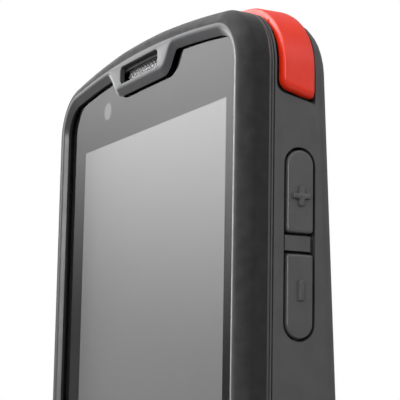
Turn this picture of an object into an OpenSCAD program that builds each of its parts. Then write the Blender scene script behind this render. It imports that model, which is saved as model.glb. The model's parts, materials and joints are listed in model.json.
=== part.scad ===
// Rugged hand-held barcode data terminal: touch screen in front, scan window in the top
// end, keys on both sides and a battery pack that tilts out of the back.
// The terminal stands on its bottom end. X runs across it, Z up, and the screen faces -Y.
// Depth is measured from the front rim towards the back.

/* [Body] */
// Width across the side walls
body_w = 78; // [74:1:86]
// Height from the bottom end to the crown of the top end
body_h = 150; // [136:1:170]
// Depth at the battery pack, front rim to back
body_t = 19; // [18.5:0.5:23]
// Depth at the top end, where the back has sloped in
top_t = 15.6; // [15.4:0.1:17]
// Radius of the shallow crown across the top end
crown_r = 240; // [180:10:400]
// Radius of the two upper corners
corner_r = 10; // [9:0.5:12]
// Radius of the two lower corners
foot_r = 8; // [6:0.5:10]
// Rounding of the front edge
front_edge_r = 1.4; // [0.8:0.1:1.5]
// Rounding of the back edge along the sides
back_edge_r = 4.5; // [3.5:0.1:4.6]
// Wall of the rear housing
wall = 1.8; // [1.6:0.1:2]
// Depth of the parting line between front frame and rear housing
parting_d = 5.1; // [5:0.1:5.3]

/* [Screen] */
// Width of the lit area of the display
lit_w = 58.5; // [56:0.5:59]
// Height of the lit area of the display
lit_h = 104; // [96:1:104]
// From the crown down to the lit area
lit_drop = 15.6; // [15:0.1:17]
// Width of the front frame's rim beside the window
rim_w = 3.2; // [3.1:0.1:4]
// From the crown down to the window's upper edge
window_drop = 2.8; // [2.6:0.1:3.2]
// From the bottom end up to the window's lower edge
window_sill = 13; // [12.5:0.5:16]
// Radius of the window's upper edge
window_crown_r = 225; // [180:5:300]
// Radius of the window's corners
window_corner_r = 7; // [6:0.5:9]
// Depth of the lip around the window
lip_d = 0.9; // [0.8:0.1:1]
// How far the lip slopes inwards at the top, at the tab and at the bottom
lip_slope = 1.25; // [1:0.05:1.4]
// How far the lip leans inwards at the sides
lip_lean = 0.6; // [0.3:0.05:0.8]
// Thickness of the cover glass
glass_t = 0.85; // [0.8:0.05:0.9]
// Thickness of the foam gasket in front of the glass
gasket_t = 0.55; // [0.5:0.05:0.6]
// Thickness of the display module
display_t = 2.3; // [2.2:0.1:2.4]

/* [Earpiece and front camera] */
// Width of the earpiece slot
slot_w = 15.9; // [14:0.1:16]
// Height of the earpiece slot
slot_h = 3.2; // [2.8:0.1:3.3]
// From the crown down to the middle of the earpiece slot
slot_drop = 4.8; // [4.7:0.1:5]
// Width of the tab that carries the slot, at its lower edge
tab_w = 19.8; // [19:0.1:21]
// Extra half width of the tab where it meets the window's edge
tab_flare = 3; // [2:0.1:3.5]
// Frame left below the slot
tab_rim = 0.6; // [0.5:0.05:0.8]
// Front camera to the left of the middle
front_cam_x = 18.5; // [16:0.5:20]
// From the crown down to the front camera
front_cam_drop = 9.2; // [8.9:0.1:9.6]
// Diameter of the front camera's barrel
front_cam_dia = 4.4; // [4:0.1:4.6]

/* [Volume keys] */
// Depth of the middle of the volume recess
key_d = 9.9; // [9.8:0.05:10]
// Width of the volume recess, front to back
recess_w = 5.5; // [5:0.1:5.6]
// Length of the volume recess
recess_l = 29.4; // [28:0.1:32]
// From the crown down to the recess's upper end
recess_drop = 24.4; // [24:0.1:26]
// Height of the bridge between the two keys
bridge_h = 2.3; // [2:0.1:3]
// Gap around a key
key_gap = 0.45; // [0.35:0.05:0.5]
// How far the volume keys stand out
key_proud = 0.3; // [0.2:0.05:0.5]
// Travel of the volume keys
key_travel = 0.5; // [0.3:0.05:0.6]
// Length of a bar of the raised plus and minus
sign_l = 3.1; // [2.5:0.1:3.3]
// Width of a bar of the raised plus and minus
sign_w = 0.6; // [0.4:0.05:0.8]
// Height of the raised plus and minus
sign_h = 0.25; // [0.15:0.05:0.3]

/* [Corner key] */
// Depth where the corner key starts
corner_key_d = 6.35; // [6.3:0.05:6.5]
// Width of the corner key, front to back
corner_key_w = 5.9; // [5.5:0.1:5.9]
// From the crown down to the middle of the corner key's lower end
corner_key_drop = 16.2; // [15.5:0.1:18]
// How much higher the lower end is cut in front than behind
corner_key_slant = 1.3; // [0:0.1:2]
// From the right side in to the corner key's upper end
corner_key_reach = 17.5; // [15:0.5:18.5]
// How far the corner key stands out
corner_key_proud = 1; // [0.8:0.1:1.2]
// Diagonal travel of the corner key
corner_key_travel = 0.5; // [0.3:0.05:0.5]

/* [Scan triggers] */
// Length of a trigger
trigger_l = 26; // [22:1:28]
// Width of a trigger, front to back
trigger_w = 5.4; // [5:0.1:5.5]
// From the crown down to the middle of a trigger
trigger_drop = 81; // [78:1:84]
// Travel of a trigger
trigger_travel = 0.8; // [0.5:0.05:0.9]

/* [Battery pack] */
// From a side wall in to the pack's cover
cover_side = 7.5; // [7.5:0.5:9]
// Height of the pack's cover
cover_h = 61; // [56:1:61]
// From the bottom end up to the cover
cover_z = 13.6; // [13.2:0.1:14]
// Thickness of the pack's cover
cover_t = 1.5; // [1.2:0.1:1.6]
// Depth of the pack below the cover
pack_t = 7.6; // [7:0.1:7.7]
// Gap around the cover
cover_gap = 0.3; // [0.25:0.05:0.4]

/* [Scan engine] */
// Width of the scan engine
engine_w = 22.4; // [20:0.1:23]
// Thickness of the scan engine
engine_t = 6.6; // [6:0.1:6.7]
// Height of the scan engine
engine_h = 13.4; // [12:0.1:13.5]

/* [Side door] */
// Height of the door over the card bay
door_l = 20.2; // [19:0.1:22]
// Width of the door, front to back
door_w = 5.5; // [5.4:0.1:5.6]
// Radius of the door's hinge pin
door_pin_r = 0.5; // [0.4:0.05:0.55]

/* [Fastenings] */
// Radius of the thread in the strap inserts
insert_r = 1.25; // [1:0.05:1.4]
// Length of the strap inserts
insert_l = 3.6; // [3:0.1:4]
// Distance between the strap inserts across the back
insert_w = 48; // [46:1:50]
// Height of the lower strap inserts
insert_low_z = 8.4; // [8:0.1:8.6]
// Height of the upper strap inserts
insert_high_z = 86; // [85:0.5:87]
// Radius of the housing screws' shanks
screw_r = 1; // [0.8:0.05:1.1]

/* [Hidden] */

// Segments of a small arc and of the shallow crown
arc_steps = 8;
crown_steps = 16;
// Steps of a rounded edge
edge_steps = 6;
// Segments of a true round
$fn = 48;
// Thickness of a layer in a blend, and how far a cut runs past what it cuts
skin = 0.02;
past = 1;
// Gap between pieces that are set against each other, and around loosely fitted ones
seat = 0.1;
loose = 0.3;

// Middle of the body in depth, and the back's slope above the battery
mid_d = body_t / 2;
knee_z = cover_z + cover_h + cover_gap;
slope = atan((body_t - top_t) / (body_h - knee_z));
side_x = body_w / 2;
window_w = body_w - 2 * rim_w;
cover_w = body_w - 2 * cover_side;
trigger_z = body_h - trigger_drop;
// Foot of the rounded edges: they are shallower along the bottom end, for a wide stance
base_share = 0.35;

// Stack behind the screen
glass_d = lip_d + gasket_t;
display_d = glass_d + glass_t;
plate_d = display_d + display_t + 0.2;
plate_t = 0.9;
board_d = plate_d + plate_t + 0.9;
board_t = 1;
parts_d = board_d + board_t;
pocket_wall = 2.1;
lit_top_z = body_h - lit_drop;
window_top_z = body_h - window_drop;
slot_z = body_h - slot_drop;
front_cam_z = body_h - front_cam_drop;
lit_margin = 2;
lit_foot = 5;
display_w = lit_w + 2 * lit_margin;
display_top_z = lit_top_z + 1.2;
display_low_z = lit_top_z - lit_h - lit_foot;

// Volume keys
recess_top_z = body_h - recess_drop;
recess_low_z = recess_top_z - recess_l;
bridge_z = (recess_top_z + recess_low_z) / 2;
key_w = recess_w - 2 * key_gap;
recess_depth = 1;
flange_t = 0.7;
flange_lap = 0.8;
inner_x = side_x - wall;

// Corner key
corner_z = body_h - corner_key_drop;
corner_x = side_x - corner_key_reach;
corner_cap_t = 1.3;
corner_floor = corner_cap_t + corner_key_travel + 0.4;
corner_floor_t = 1.2;
corner_end_gap = 0.55;
corner_front_gap = 0.55;
corner_rear_gap = 0.4;
plunger_r = 1.6;

// Battery
well_w = cover_w - 1;
case_w = well_w - 2 * loose;
well_r = 2.4;
case_low_z = cover_z + 0.7;
case_top_z = cover_z + cover_h - 1.6;
cover_d = body_t - cover_t;
case_d = cover_d - pack_t;
well_top_z = case_top_z + 1;
well_floor_t = 1.2;
tub_wall = 1.3;

// Scan engine, in the top end
engine_d = 6.5;
engine_top_z = body_h - 4.6;
scan_w = engine_w + 2.6;
scan_d = 6.3;
scan_open = 6.2;

// Side door, on the left
pin_x = side_x - 1;
pin_d = 13.6;
door_d = pin_d - 1.2 - door_w;
door_t = 1.5;
bay_x = side_x - 7.6;
bay_l = door_l - 1.6;
bay_w = 5.4;
bay_d = pin_d - 0.7 - bay_w;

// Fastenings: screws at the top, above the battery and at the bottom end
insert_outer_r = insert_r + 0.75;
insert_boss_r = insert_outer_r + 1.1;
insert_face_d = body_t - 0.8;
head_r = 1.9;
head_t = 1.3;
boss_r = 2.6;
screw_side = 8.5;
screw_drop = 19;
screw_spots = [[side_x - screw_side, body_h - screw_drop], [side_x - screw_side, knee_z + 4.6], [16, 8.5]];
board_half_w = screw_spots[0].x - boss_r - 0.6;
board_low_z = screw_spots[2].y + boss_r + 6;
board_top_z = screw_spots[0].y - boss_r - 0.6;
door_z = (screw_spots[0].y + screw_spots[1].y) / 2;
board_spots = [[board_half_w - 3.8, board_low_z + 4.9], [board_half_w - 3.8, board_top_z - 4.3]];
insert_spots = [[insert_w / 2, insert_low_z], [insert_w / 2, insert_high_z]];

// Camera and flash in the sloping back
rear_cam_x = -14;
rear_cam_z = body_h - 32;
rear_cam_r = 3.6;
flash_x = -4;
flash_r = 1.7;

// Points of an arc about (cx, cy)
function arc(cx, cy, r, from, to, steps) =
    [for (i = [0:steps]) let (a = from + (to - from) * i / steps) [cx + r * cos(a), cy + r * sin(a)]];
// The same arc without its first and last point
function inner_arc(cx, cy, r, from, to, steps) =
    [for (i = [1:steps - 1]) let (a = from + (to - from) * i / steps) [cx + r * cos(a), cy + r * sin(a)]];
// An upright plate with a crowned top: half width, bottom, crown, and the radii of
// its crown, its upper corners and its lower corners. It has a point on each side where
// the back bends, so that a face can be split there.
function crowned(half_w, z0, z1, big_r, top_r, low_r) =
    let (
        cx = half_w - top_r,
        rise = sqrt(pow(big_r - top_r, 2) - pow(cx, 2)),
        cz = z1 - big_r + rise,
        turn = atan2(rise, cx)
    )
    concat(
        arc(half_w - low_r, z0 + low_r, low_r, -90, 0, arc_steps),
        [[half_w, knee_z]],
        arc(cx, cz, top_r, 0, turn, arc_steps),
        inner_arc(0, z1 - big_r, big_r, turn, 180 - turn, crown_steps),
        arc(-cx, cz, top_r, 180 - turn, 180, arc_steps),
        [[-half_w, knee_z]],
        arc(low_r - half_w, z0 + low_r, low_r, 180, 270, arc_steps)
    );
// Outline of the body, set in by side along the sides and top and by base at the bottom
function body_outline(side, base) =
    crowned(side_x - side, base, body_h - side, crown_r - side, corner_r - side, foot_r - side);
// Outline of the window, set in by side along the sides and by end at the top and bottom
function window_outline(side, end) =
    crowned(window_w / 2 - side, window_sill + end, window_top_z - end,
            window_crown_r - end, window_corner_r - end, foot_r - 1);
// Depth of the back at height z
function back_d(z) = body_t - max(0, z - knee_z) * tan(slope);

// A flat shape drawn across (x, z), made solid between two depths
module slab(d0, d1) {
    translate([0, d0 - mid_d, 0]) rotate([90, 0, 0]) mirror([0, 0, 1])
        linear_extrude(d1 - d0) children();
}
// A flat shape drawn across (depth, z), made solid between two places in x
module side_slab(x0, x1) {
    translate([x0, -mid_d, 0]) rotate([90, 0, 90]) linear_extrude(x1 - x0) children();
}
// A box between two corners, its middle value in depth
module block(x0, x1, d0, d1, z0, z1) {
    translate([x0, d0 - mid_d, z0]) cube([x1 - x0, d1 - d0, z1 - z0]);
}
// A round bar along the depth
module bar_d(x, z, r, d0, d1) {
    translate([x, d0 - mid_d, z]) rotate([-90, 0, 0]) cylinder(r = r, h = d1 - d0);
}
// A round bar along x
module bar_x(d, z, r, x0, x1) {
    translate([x0, d - mid_d, z]) rotate([0, 90, 0]) cylinder(r = r, h = x1 - x0);
}
// The same piece on both sides
module both_sides() {
    children();
    mirror([1, 0, 0]) children();
}
// What is set in the sloping back keeps its own depth from that surface
module on_slope() {
    translate([0, mid_d, knee_z]) rotate([slope, 0, 0]) translate([0, -mid_d, -knee_z]) children();
}
// A slot with round ends, standing on end across (depth, z)
module upright_slot(d, z0, z1, w) {
    translate([d, z0 + w / 2]) circle(d = w);
    translate([d, z1 - w / 2]) circle(d = w);
    translate([d - w / 2, z0 + w / 2]) square([w, z1 - z0 - w]);
}
// A rectangle with round corners about its middle
module round_rect(w, h, r) {
    for (x = [-1, 1], y = [-1, 1]) translate([x * (w / 2 - r), y * (h / 2 - r)]) circle(r);
    square([w, h - 2 * r], center = true);
    square([w - 2 * r, h], center = true);
}

// A ring of points: a flat outline with the depth of each point
function ring(outline, depths) =
    [for (i = [0:len(outline) - 1]) [outline[i].x, depths[i] - mid_d, outline[i].y]];
function level_ring(outline, d) = ring(outline, [for (p = outline) d]);
// Ring on the back's own bend and slope, lying short of the back by rise
function back_ring(outline, rise) = ring(outline, [for (p = outline) back_d(p.y) - rise]);

// Skin through rings of equal count, from the front one to the back one; the back is
// closed by the given faces
module loft(rings, back_faces) {
    n = len(rings[0]);
    last = (len(rings) - 1) * n;
    polyhedron(
        points = [for (r = rings) each r],
        faces = concat(
            [[for (i = [n - 1:-1:0]) i]],
            [for (j = [0:len(rings) - 2], i = [0:n - 1])
                let (a = j * n + i, b = j * n + (i + 1) % n) each [[a, b, b + n], [a, b + n, a + n]]],
            [for (f = back_faces) [for (i = f) last + i]]
        )
    );
}

// Closed outer form of the rear housing: a soft shoulder where it starts, straight sides,
// and a rounded edge around a back that bends at the knee
module rear_form() {
    shoulder = 0.3;
    bend_right = arc_steps + 1;
    ring_n = len(body_outline(0, 0));
    bend_left = ring_n - arc_steps - 2;
    loft(
        concat(
            [level_ring(body_outline(shoulder, shoulder * base_share), parting_d)],
            [level_ring(body_outline(0, 0), parting_d + 4 * shoulder)],
            [for (k = [0:edge_steps])
                let (a = 90 * k / edge_steps, pull = back_edge_r * (1 - cos(a)))
                back_ring(body_outline(pull, pull * base_share), back_edge_r * (1 - sin(a)))]
        ),
        [
            concat([for (i = [0:bend_right]) i], [for (i = [bend_left:ring_n - 1]) i]),
            [for (i = [bend_right:bend_left]) i]
        ]
    );
}
// Closed outer form of the front frame
module front_form() {
    back_round = 0.4;
    straight_d = parting_d - seat - back_round;
    loft(
        concat(
            [for (k = [0:edge_steps])
                let (a = 90 * k / edge_steps, pull = front_edge_r * (1 - sin(a)))
                level_ring(body_outline(pull, pull * base_share), front_edge_r * (1 - cos(a)))],
            [level_ring(body_outline(0, 0), straight_d)],
            [level_ring(body_outline(back_round / 2, back_round * base_share), parting_d - seat)]
        ),
        [[for (i = [0:len(body_outline(0, 0)) - 1]) i]]
    );
}
// The window's sloping opening, run on past both faces of the lip
module window_cut() {
    over = 0.3 / lip_d;
    loft(
        [
            level_ring(window_outline(-over * lip_lean, -over * lip_slope), -over * lip_d),
            level_ring(window_outline((1 + over) * lip_lean, (1 + over) * lip_slope), (1 + over) * lip_d)
        ],
        [[for (i = [0:len(window_outline(0, 0)) - 1]) i]]
    );
}
// The tab that carries the earpiece: its face, grown by grow towards the glass
function tab_outline(grow) =
    let (low_z = slot_z - slot_h / 2 - tab_rim - grow, top_z = window_top_z + past / 2)
    [
        [-tab_w / 2 - grow, low_z],
        [tab_w / 2 + grow, low_z],
        [tab_w / 2 + tab_flare + grow, top_z],
        [-tab_w / 2 - tab_flare - grow, top_z]
    ];
module earpiece_slot(grow) {
    translate([0, slot_z]) round_rect(slot_w + 2 * grow, slot_h + 2 * grow, 0.8 + grow);
}

module front_frame() {
    color("#2a2a2c") difference() {
        union() {
            difference() {
                front_form();
                window_cut();
                slab(lip_d, parting_d + past) polygon(body_outline(pocket_wall, pocket_wall));
            }
            loft([level_ring(tab_outline(0), 0), level_ring(tab_outline(lip_slope), lip_d)], [[0, 1, 2, 3]]);
        }
        slab(-past, lip_d + past) earpiece_slot(0);
    }
}

module screen_gasket() {
    set_back = 0.2;
    color("#0c0c0d") slab(lip_d, glass_d) difference() {
        polygon(body_outline(pocket_wall + loose, pocket_wall + loose));
        polygon(window_outline(lip_lean - set_back, lip_slope - set_back));
    }
}

module cover_glass() {
    color("#7d8184") slab(glass_d, display_d) difference() {
        polygon(body_outline(pocket_wall + loose, pocket_wall + loose));
        earpiece_slot(loose);
    }
}

module display_module() {
    color("#b9bcbe") block(-display_w / 2, display_w / 2, display_d, display_d + display_t,
                           display_low_z, display_top_z);
}

// Woven mesh over the earpiece, drawn as a plate with a row of narrow slits
module earpiece_grille() {
    slits = 15;
    pitch = (slot_w - 1) / slits;
    color("#6d6d6f") slab(glass_d + seat, glass_d + seat + 0.4) difference() {
        earpiece_slot(0);
        for (i = [0:slits - 1])
            translate([(i + 0.5 - slits / 2) * pitch - 0.2, slot_z - slot_h / 2 + 0.4])
                square([0.4, slot_h - 0.8]);
    }
}

module earpiece_receiver() {
    color("#8a8d90") slab(display_d + seat, plate_d - loose)
        translate([0, slot_z]) round_rect(slot_w - 1, slot_h + 1.6, 1);
}

module front_camera() {
    color("#1d1f22") {
        bar_d(-front_cam_x, front_cam_z, front_cam_dia / 2, display_d, plate_d);
        block(-front_cam_x - 3, -front_cam_x + 3, plate_d, plate_d + plate_t - seat,
              front_cam_z - 3, front_cam_z + 3);
    }
}

// Cast magnesium frame that the display, the board and the rear housing are screwed to
module chassis() {
    fit = pocket_wall + loose;
    color("#9c9fa2") difference() {
        union() {
            slab(display_d, plate_d) difference() {
                polygon(body_outline(fit, fit));
                translate([-display_w / 2 - loose, display_low_z - loose])
                    square([display_w + 2 * loose, display_top_z - display_low_z + 2 * loose]);
            }
            slab(plate_d, plate_d + plate_t) polygon(body_outline(fit, fit));
            both_sides() {
                for (p = screw_spots) bar_d(p.x, p.y, boss_r, plate_d, board_d + board_t);
                for (p = board_spots) bar_d(p.x, p.y, 1.8, plate_d, board_d);
            }
        }
        slab(display_d - past, plate_d + skin)
            translate([0, slot_z]) round_rect(slot_w + 0.4, slot_h + 3, 1);
        bar_d(-front_cam_x, front_cam_z, front_cam_dia / 2 + loose, display_d - past, body_t);
        block(-front_cam_x - 3 - seat, -front_cam_x + 3 + seat, plate_d, body_t,
              front_cam_z - 3 - seat, front_cam_z + 3 + seat);
        both_sides() {
            for (p = screw_spots) bar_d(p.x, p.y, screw_r, display_d - past, body_t);
            for (p = board_spots) bar_d(p.x, p.y, 0.8, display_d - past, body_t);
        }
    }
}

// Round cord in the joint between front frame and rear housing
module housing_seal() {
    cord = 0.8;
    color("#0f0f10") slab(parting_d - cord, parting_d) difference() {
        polygon(body_outline(pocket_wall + seat / 2, pocket_wall + seat / 2));
        polygon(body_outline(pocket_wall + 2 * seat, pocket_wall + 2 * seat));
    }
}

// Main board, screwed to the chassis between the upper and lower bosses
module main_board() {
    color("#1e4a33") difference() {
        block(-board_half_w, board_half_w, board_d, board_d + board_t, board_low_z, board_top_z);
        both_sides() for (p = board_spots) bar_d(p.x, p.y, 0.9, board_d - past, parts_d + past);
    }
}

module shield_cans() {
    can_t = 1.3;
    can_h = 14;
    can_gap = 3;
    wide = 21;
    inner_end = -2;
    outer_end = reader_l - reader_x + 1.5;
    low_z = knee_z + 3;
    color("#b5b8ba") {
        block(outer_end, inner_end, parts_d, parts_d + can_t, low_z, low_z + can_h);
        block(1, 1 + wide, parts_d, parts_d + can_t, low_z, low_z + can_h);
        block(1, 1 + wide, parts_d, parts_d + can_t, low_z + can_h + can_gap, low_z + 2 * can_h + 5);
    }
}

module board_screws() {
    color("#c4c6c8") both_sides() for (p = board_spots) {
        bar_d(p.x, p.y, 0.8, plate_d, parts_d);
        bar_d(p.x, p.y, 1.4, parts_d, parts_d + 0.6);
    }
}

// Charging socket and its small board at the bottom end
dock_half_w = screw_spots[2].x - boss_r - 0.9;
dock_low_z = 3;
dock_top_z = cover_z - tub_wall - 0.6;
usb_w = 8.94;
usb_t = 3.26;
usb_mid_d = board_d + board_t + usb_t / 2;
module dock_board() {
    color("#1e4a33") block(-dock_half_w, dock_half_w, board_d, board_d + board_t, dock_low_z, dock_top_z);
}

module dock_flex() {
    flex_t = 0.15;
    color("#b5702a") block(-4, 4, board_d - flex_t, board_d, dock_low_z + 3, board_low_z + 4);
}

// A stadium of the socket's shape, lying across the bottom end
module usb_slot(grow, z0, z1) {
    w = usb_w + 2 * grow;
    t = usb_t + 2 * grow;
    hull() both_sides() translate([w / 2 - t / 2, usb_mid_d - mid_d, z0])
        cylinder(d = t, h = z1 - z0, $fn = 32);
}
module usb_socket() {
    shell = 0.35;
    color("#a9acae") difference() {
        usb_slot(0, 1, 8.4);
        usb_slot(-shell, 1 - past, 7.6);
    }
    color("#101011") block(-3.2, 3.2, usb_mid_d - 0.35, usb_mid_d + 0.35, 2.2, 7.6);
}

// Gold plated pads for a charging cradle
pad_spots = [-11.5, -8.5, 8.5, 11.5];
pad_r = 0.9;
module charge_contacts() {
    color("#c9a24a") for (x = pad_spots)
        translate([x, usb_mid_d - mid_d, 0.2]) cylinder(r = pad_r, h = dock_low_z + 2);
}

mic_x = 20.5;
module microphone() {
    color("#b9bcbe") block(mic_x - 1.8, mic_x + 1.8, usb_mid_d - 1.4, usb_mid_d + 1.4, wall + seat,
                           wall + 1.2);
}

// Vibration motor, beside the scan engine
motor_r = 4;
module vibration_motor() {
    color("#a5a8aa") bar_d(-engine_w / 2 - 3.2 * motor_r, body_h - 12.5, motor_r,
                           plate_d + plate_t + seat, plate_d + plate_t + 3.4);
}

speaker_low_z = knee_z + 7.5;
module loudspeaker() {
    speaker_t = 4;
    color("#26272a") on_slope() {
        block(-8, 8, body_t - wall - 0.2 - speaker_t, body_t - wall - 0.2, speaker_low_z, speaker_low_z + 11);
    }
}

// Card socket, its mouth at the inner end of the bay behind the side door
reader_l = 14;
reader_x = bay_x - 1.1;
module card_reader() {
    color("#aeb1b3") difference() {
        block(-reader_x, -reader_x + reader_l, parts_d, parts_d + 1.9, door_z - 7.5, door_z + 7.5);
        block(-reader_x - past, -reader_x + reader_l - 2, parts_d + 0.5, parts_d + 1.4, door_z - 5.8,
              door_z + 5.8);
    }
}

// Height of the corner key's lower end, which is cut on a slant
function corner_low_z(d) = corner_z + corner_key_slant * (0.5 - (d - corner_key_d) / corner_key_w);
// The corner key seen from the side, grown by gap at its lower end, with its lower front
// corner rounded
function corner_side(d0, d1, gap) =
    let (r = 1.1 + gap)
    concat(
        arc(d0 + r, corner_low_z(d0 + r) - gap + r, r, 180, 270, arc_steps / 2),
        [[d1, corner_low_z(d1) - gap], [d1, body_h + past + 3], [d0, body_h + past + 3]]
    );
// Band that follows the outer form around the upper right corner
module corner_band(outer, inner, d0, d1, end_gap) {
    intersection() {
        slab(d0, d1) intersection() {
            difference() {
                polygon(body_outline(outer, outer));
                polygon(body_outline(inner, inner));
            }
            translate([corner_x - end_gap, corner_z - end_gap - corner_key_slant]) square(body_w);
        }
        side_slab(0, body_w) polygon(corner_side(d0, d1, end_gap));
    }
}
// A round bar along the corner key's travel, from the corner's centre outwards
corner_cx = side_x - corner_r;
corner_cz = body_h - crown_r + sqrt(pow(crown_r - corner_r, 2) - pow(corner_cx, 2));
module along_corner(from, to, r) {
    translate([corner_cx, corner_key_d + corner_key_w / 2 - mid_d, corner_cz]) rotate([0, 45, 0])
        translate([0, 0, from]) cylinder(r = r, h = to - from);
}

// Face of a volume key across (depth, z), grown by grow; the bridge parts the two keys
module key_face(upper, grow) {
    edge_z = bridge_h / 2 + key_gap - grow;
    intersection() {
        upright_slot(key_d, recess_low_z + key_gap - grow, recess_top_z - key_gap + grow, key_w + 2 * grow);
        translate([key_d - recess_w, upper ? bridge_z + edge_z : bridge_z - edge_z - recess_l])
            square([2 * recess_w, recess_l]);
    }
}
module trigger_face(grow) {
    half_l = trigger_l / 2 + grow;
    upright_slot(key_d, trigger_z - half_l, trigger_z + half_l, trigger_w + 2 * grow);
}

// What stands inside the rear housing before its holes are cut
bed_low_z = knee_z + 0.4;
bed_h = 5.3;
bed_half_w = 10.5;
latch_d = body_t - 1.7;
module within_walls() {
    intersection() {
        polygon(body_outline(wall / 2, wall / 2));
        children();
    }
}
module flat_box(x0, x1, z0, z1) {
    translate([x0, z0]) square([x1 - x0, z1 - z0]);
}
module housing_cores() {
    mid_wall = wall / 2;
    slab(case_d - loose - well_floor_t, body_t - mid_wall)
        flat_box(-well_w / 2 - tub_wall, well_w / 2 + tub_wall, case_low_z - loose - tub_wall,
                 well_top_z + tub_wall);
    slab(latch_d - 1.8, back_d(bed_low_z + bed_h) - mid_wall)
        flat_box(-bed_half_w, bed_half_w, bed_low_z - 0.6, bed_low_z + bed_h);
    corner_band(mid_wall, corner_floor + corner_floor_t, corner_key_d - 0.6, corner_key_d + corner_key_w + 1,
                corner_end_gap + 1.2);
    mirror([1, 0, 0]) {
        slab(bay_d - 1, pin_d + 2.4)
            flat_box(bay_x - 1, side_x - 1.2, door_z - door_l / 2 - 2.4, door_z + door_l / 2 + 2.4);
        slab(lanyard_d - 3, lanyard_d + 3.4) within_walls()
            flat_box(side_x - 8, side_x, 0, lanyard_top_z + 1);
    }
    both_sides() {
        for (p = screw_spots) bar_d(p.x, p.y, boss_r, parts_d, back_d(p.y) - mid_wall);
        for (p = insert_spots)
            bar_d(p.x, p.y, insert_boss_r, insert_face_d - insert_l - 1, back_d(p.y) - mid_wall);
    }
}
// The hollow inside the rear housing, deeper beside the battery and under the slope
hollow_d = top_t - wall;
module hollow() {
    slab(parting_d - past, hollow_d) polygon(body_outline(wall, wall));
    slab(hollow_d - skin, body_t - wall) intersection() {
        polygon(body_outline(back_edge_r, back_edge_r));
        flat_box(-side_x, side_x, 0, knee_z - tub_wall);
    }
    on_slope() slab(hollow_d - skin, body_t - wall) intersection() {
        polygon(body_outline(back_edge_r, back_edge_r));
        flat_box(-side_x, side_x, knee_z - tub_wall / 2, body_h);
    }
}

// Cuts for the battery pack: its case, its cover and the pockets for its two toes
toe_x = 20;
toe_w = 8;
toe_d = case_d + 5.9;
toe_t = 1;
toe_l = 1.5;
module battery_cuts() {
    slab(case_d - loose, body_t + past) translate([0, (case_low_z - loose + well_top_z) / 2])
        round_rect(well_w, well_top_z - case_low_z + loose, well_r);
    slab(cover_d - loose, body_t + past) translate([0, cover_z + cover_h / 2])
        round_rect(cover_w + 2 * cover_gap, cover_h + 2 * cover_gap, 3);
    both_sides() block(toe_x - toe_w / 2 - loose, toe_x + toe_w / 2 + loose, toe_d - 0.6,
                       toe_d + toe_t + 0.2, cover_z - toe_l - loose, case_low_z);
    block(-contact_w / 2 - seat, contact_w / 2 + seat, parts_d, case_d, contact_z - 2, contact_z + 2);
}

// Cuts for the card bay, the door over it, the door's arms and its pin
module door_cuts() {
    mirror([1, 0, 0]) {
        block(bay_x, side_x + past, bay_d, bay_d + bay_w, door_z - bay_l / 2, door_z + bay_l / 2);
        block(bay_x - 1 - past, bay_x + past, parts_d + 0.3, parts_d + 1.6, door_z - 6, door_z + 6);
        side_slab(side_x - door_t - loose, side_x + past) translate([door_d + door_w / 2, door_z])
            round_rect(door_w + 0.5, door_l + 0.5, 1);
        for (z = arm_places) {
            translate([pin_x, pin_d - mid_d, z - arm_l / 2 - seat])
                cylinder(r = knuckle_r + 0.6, h = arm_l + 2 * seat);
            block(side_x - door_t - loose, side_x + past, pin_d - 2, pin_d, z - arm_l / 2 - seat,
                  z + arm_l / 2 + seat);
        }
        translate([pin_x, pin_d - mid_d, door_z - door_l / 2 - 2]) cylinder(r = door_pin_r, h = door_l + 4);
    }
}
arm_l = 3.4;
knuckle_r = 1;
arm_places = [door_z - door_l / 2 + 2.2, door_z + door_l / 2 - 2.2];

// Cuts for the keys and triggers in the side walls
module key_cuts() {
    side_slab(side_x - recess_depth, side_x + past) difference() {
        upright_slot(key_d, recess_low_z, recess_top_z, recess_w);
        translate([key_d - recess_w / 2 + bridge_front, bridge_z - bridge_h / 2])
            square([recess_w - bridge_front - bridge_rear, bridge_h]);
    }
    side_slab(inner_x - past, side_x) {
        key_face(true, key_gap);
        key_face(false, key_gap);
    }
    both_sides() side_slab(inner_x - past, side_x + past) trigger_face(key_gap);
    corner_band(-3, corner_floor, corner_key_d - corner_front_gap,
                corner_key_d + corner_key_w + corner_rear_gap, corner_end_gap);
    along_corner(-2, corner_r, plunger_r + loose);
}
// Gaps beside the bridge: narrow in front, wide behind
bridge_front = 0.2;
bridge_rear = 0.9;

contact_w = 12;
contact_z = case_top_z - 3.5;
lanyard_d = 10;
lanyard_top_z = 5.6;
lanyard_x = side_x - 3.4;
lanyard_z = 2.9;
lanyard_r = 0.9;
module lanyard_cuts() {
    mirror([1, 0, 0]) {
        block(side_x - 5.8, side_x + past, lanyard_d - 2, lanyard_d + 2.4, -past, lanyard_top_z);
        bar_d(lanyard_x, lanyard_z, lanyard_r, lanyard_d - 2.6, lanyard_d + 3);
    }
}

// Recess that the battery latch slides in, undercut to hold it
latch_l = 9;
latch_travel = 3;
module latch_cuts() {
    end_gap = 0.4;
    low_z = bed_low_z + 0.5;
    for (layer = [[0, latch_d, latch_d + 0.9], [0.5, latch_d + 0.8, body_t + past]])
        block(-latch_l / 2 - end_gap, latch_l / 2 + latch_travel + end_gap, layer[1], layer[2],
              low_z + layer[0], low_z + bed_h - 1.1 - layer[0]);
}

module fastening_cuts() {
    both_sides() {
        for (p = screw_spots) {
            bar_d(p.x, p.y, screw_r + seat, parts_d - past, body_t + past);
            bar_d(p.x, p.y, head_r + seat, back_d(p.y) - head_t - 0.5, body_t + past);
        }
        for (p = insert_spots) {
            bar_d(p.x, p.y, insert_outer_r, insert_face_d - insert_l, body_t);
            bar_d(p.x, p.y, insert_boss_r - 0.3, insert_face_d, body_t + past);
        }
    }
}

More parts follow.
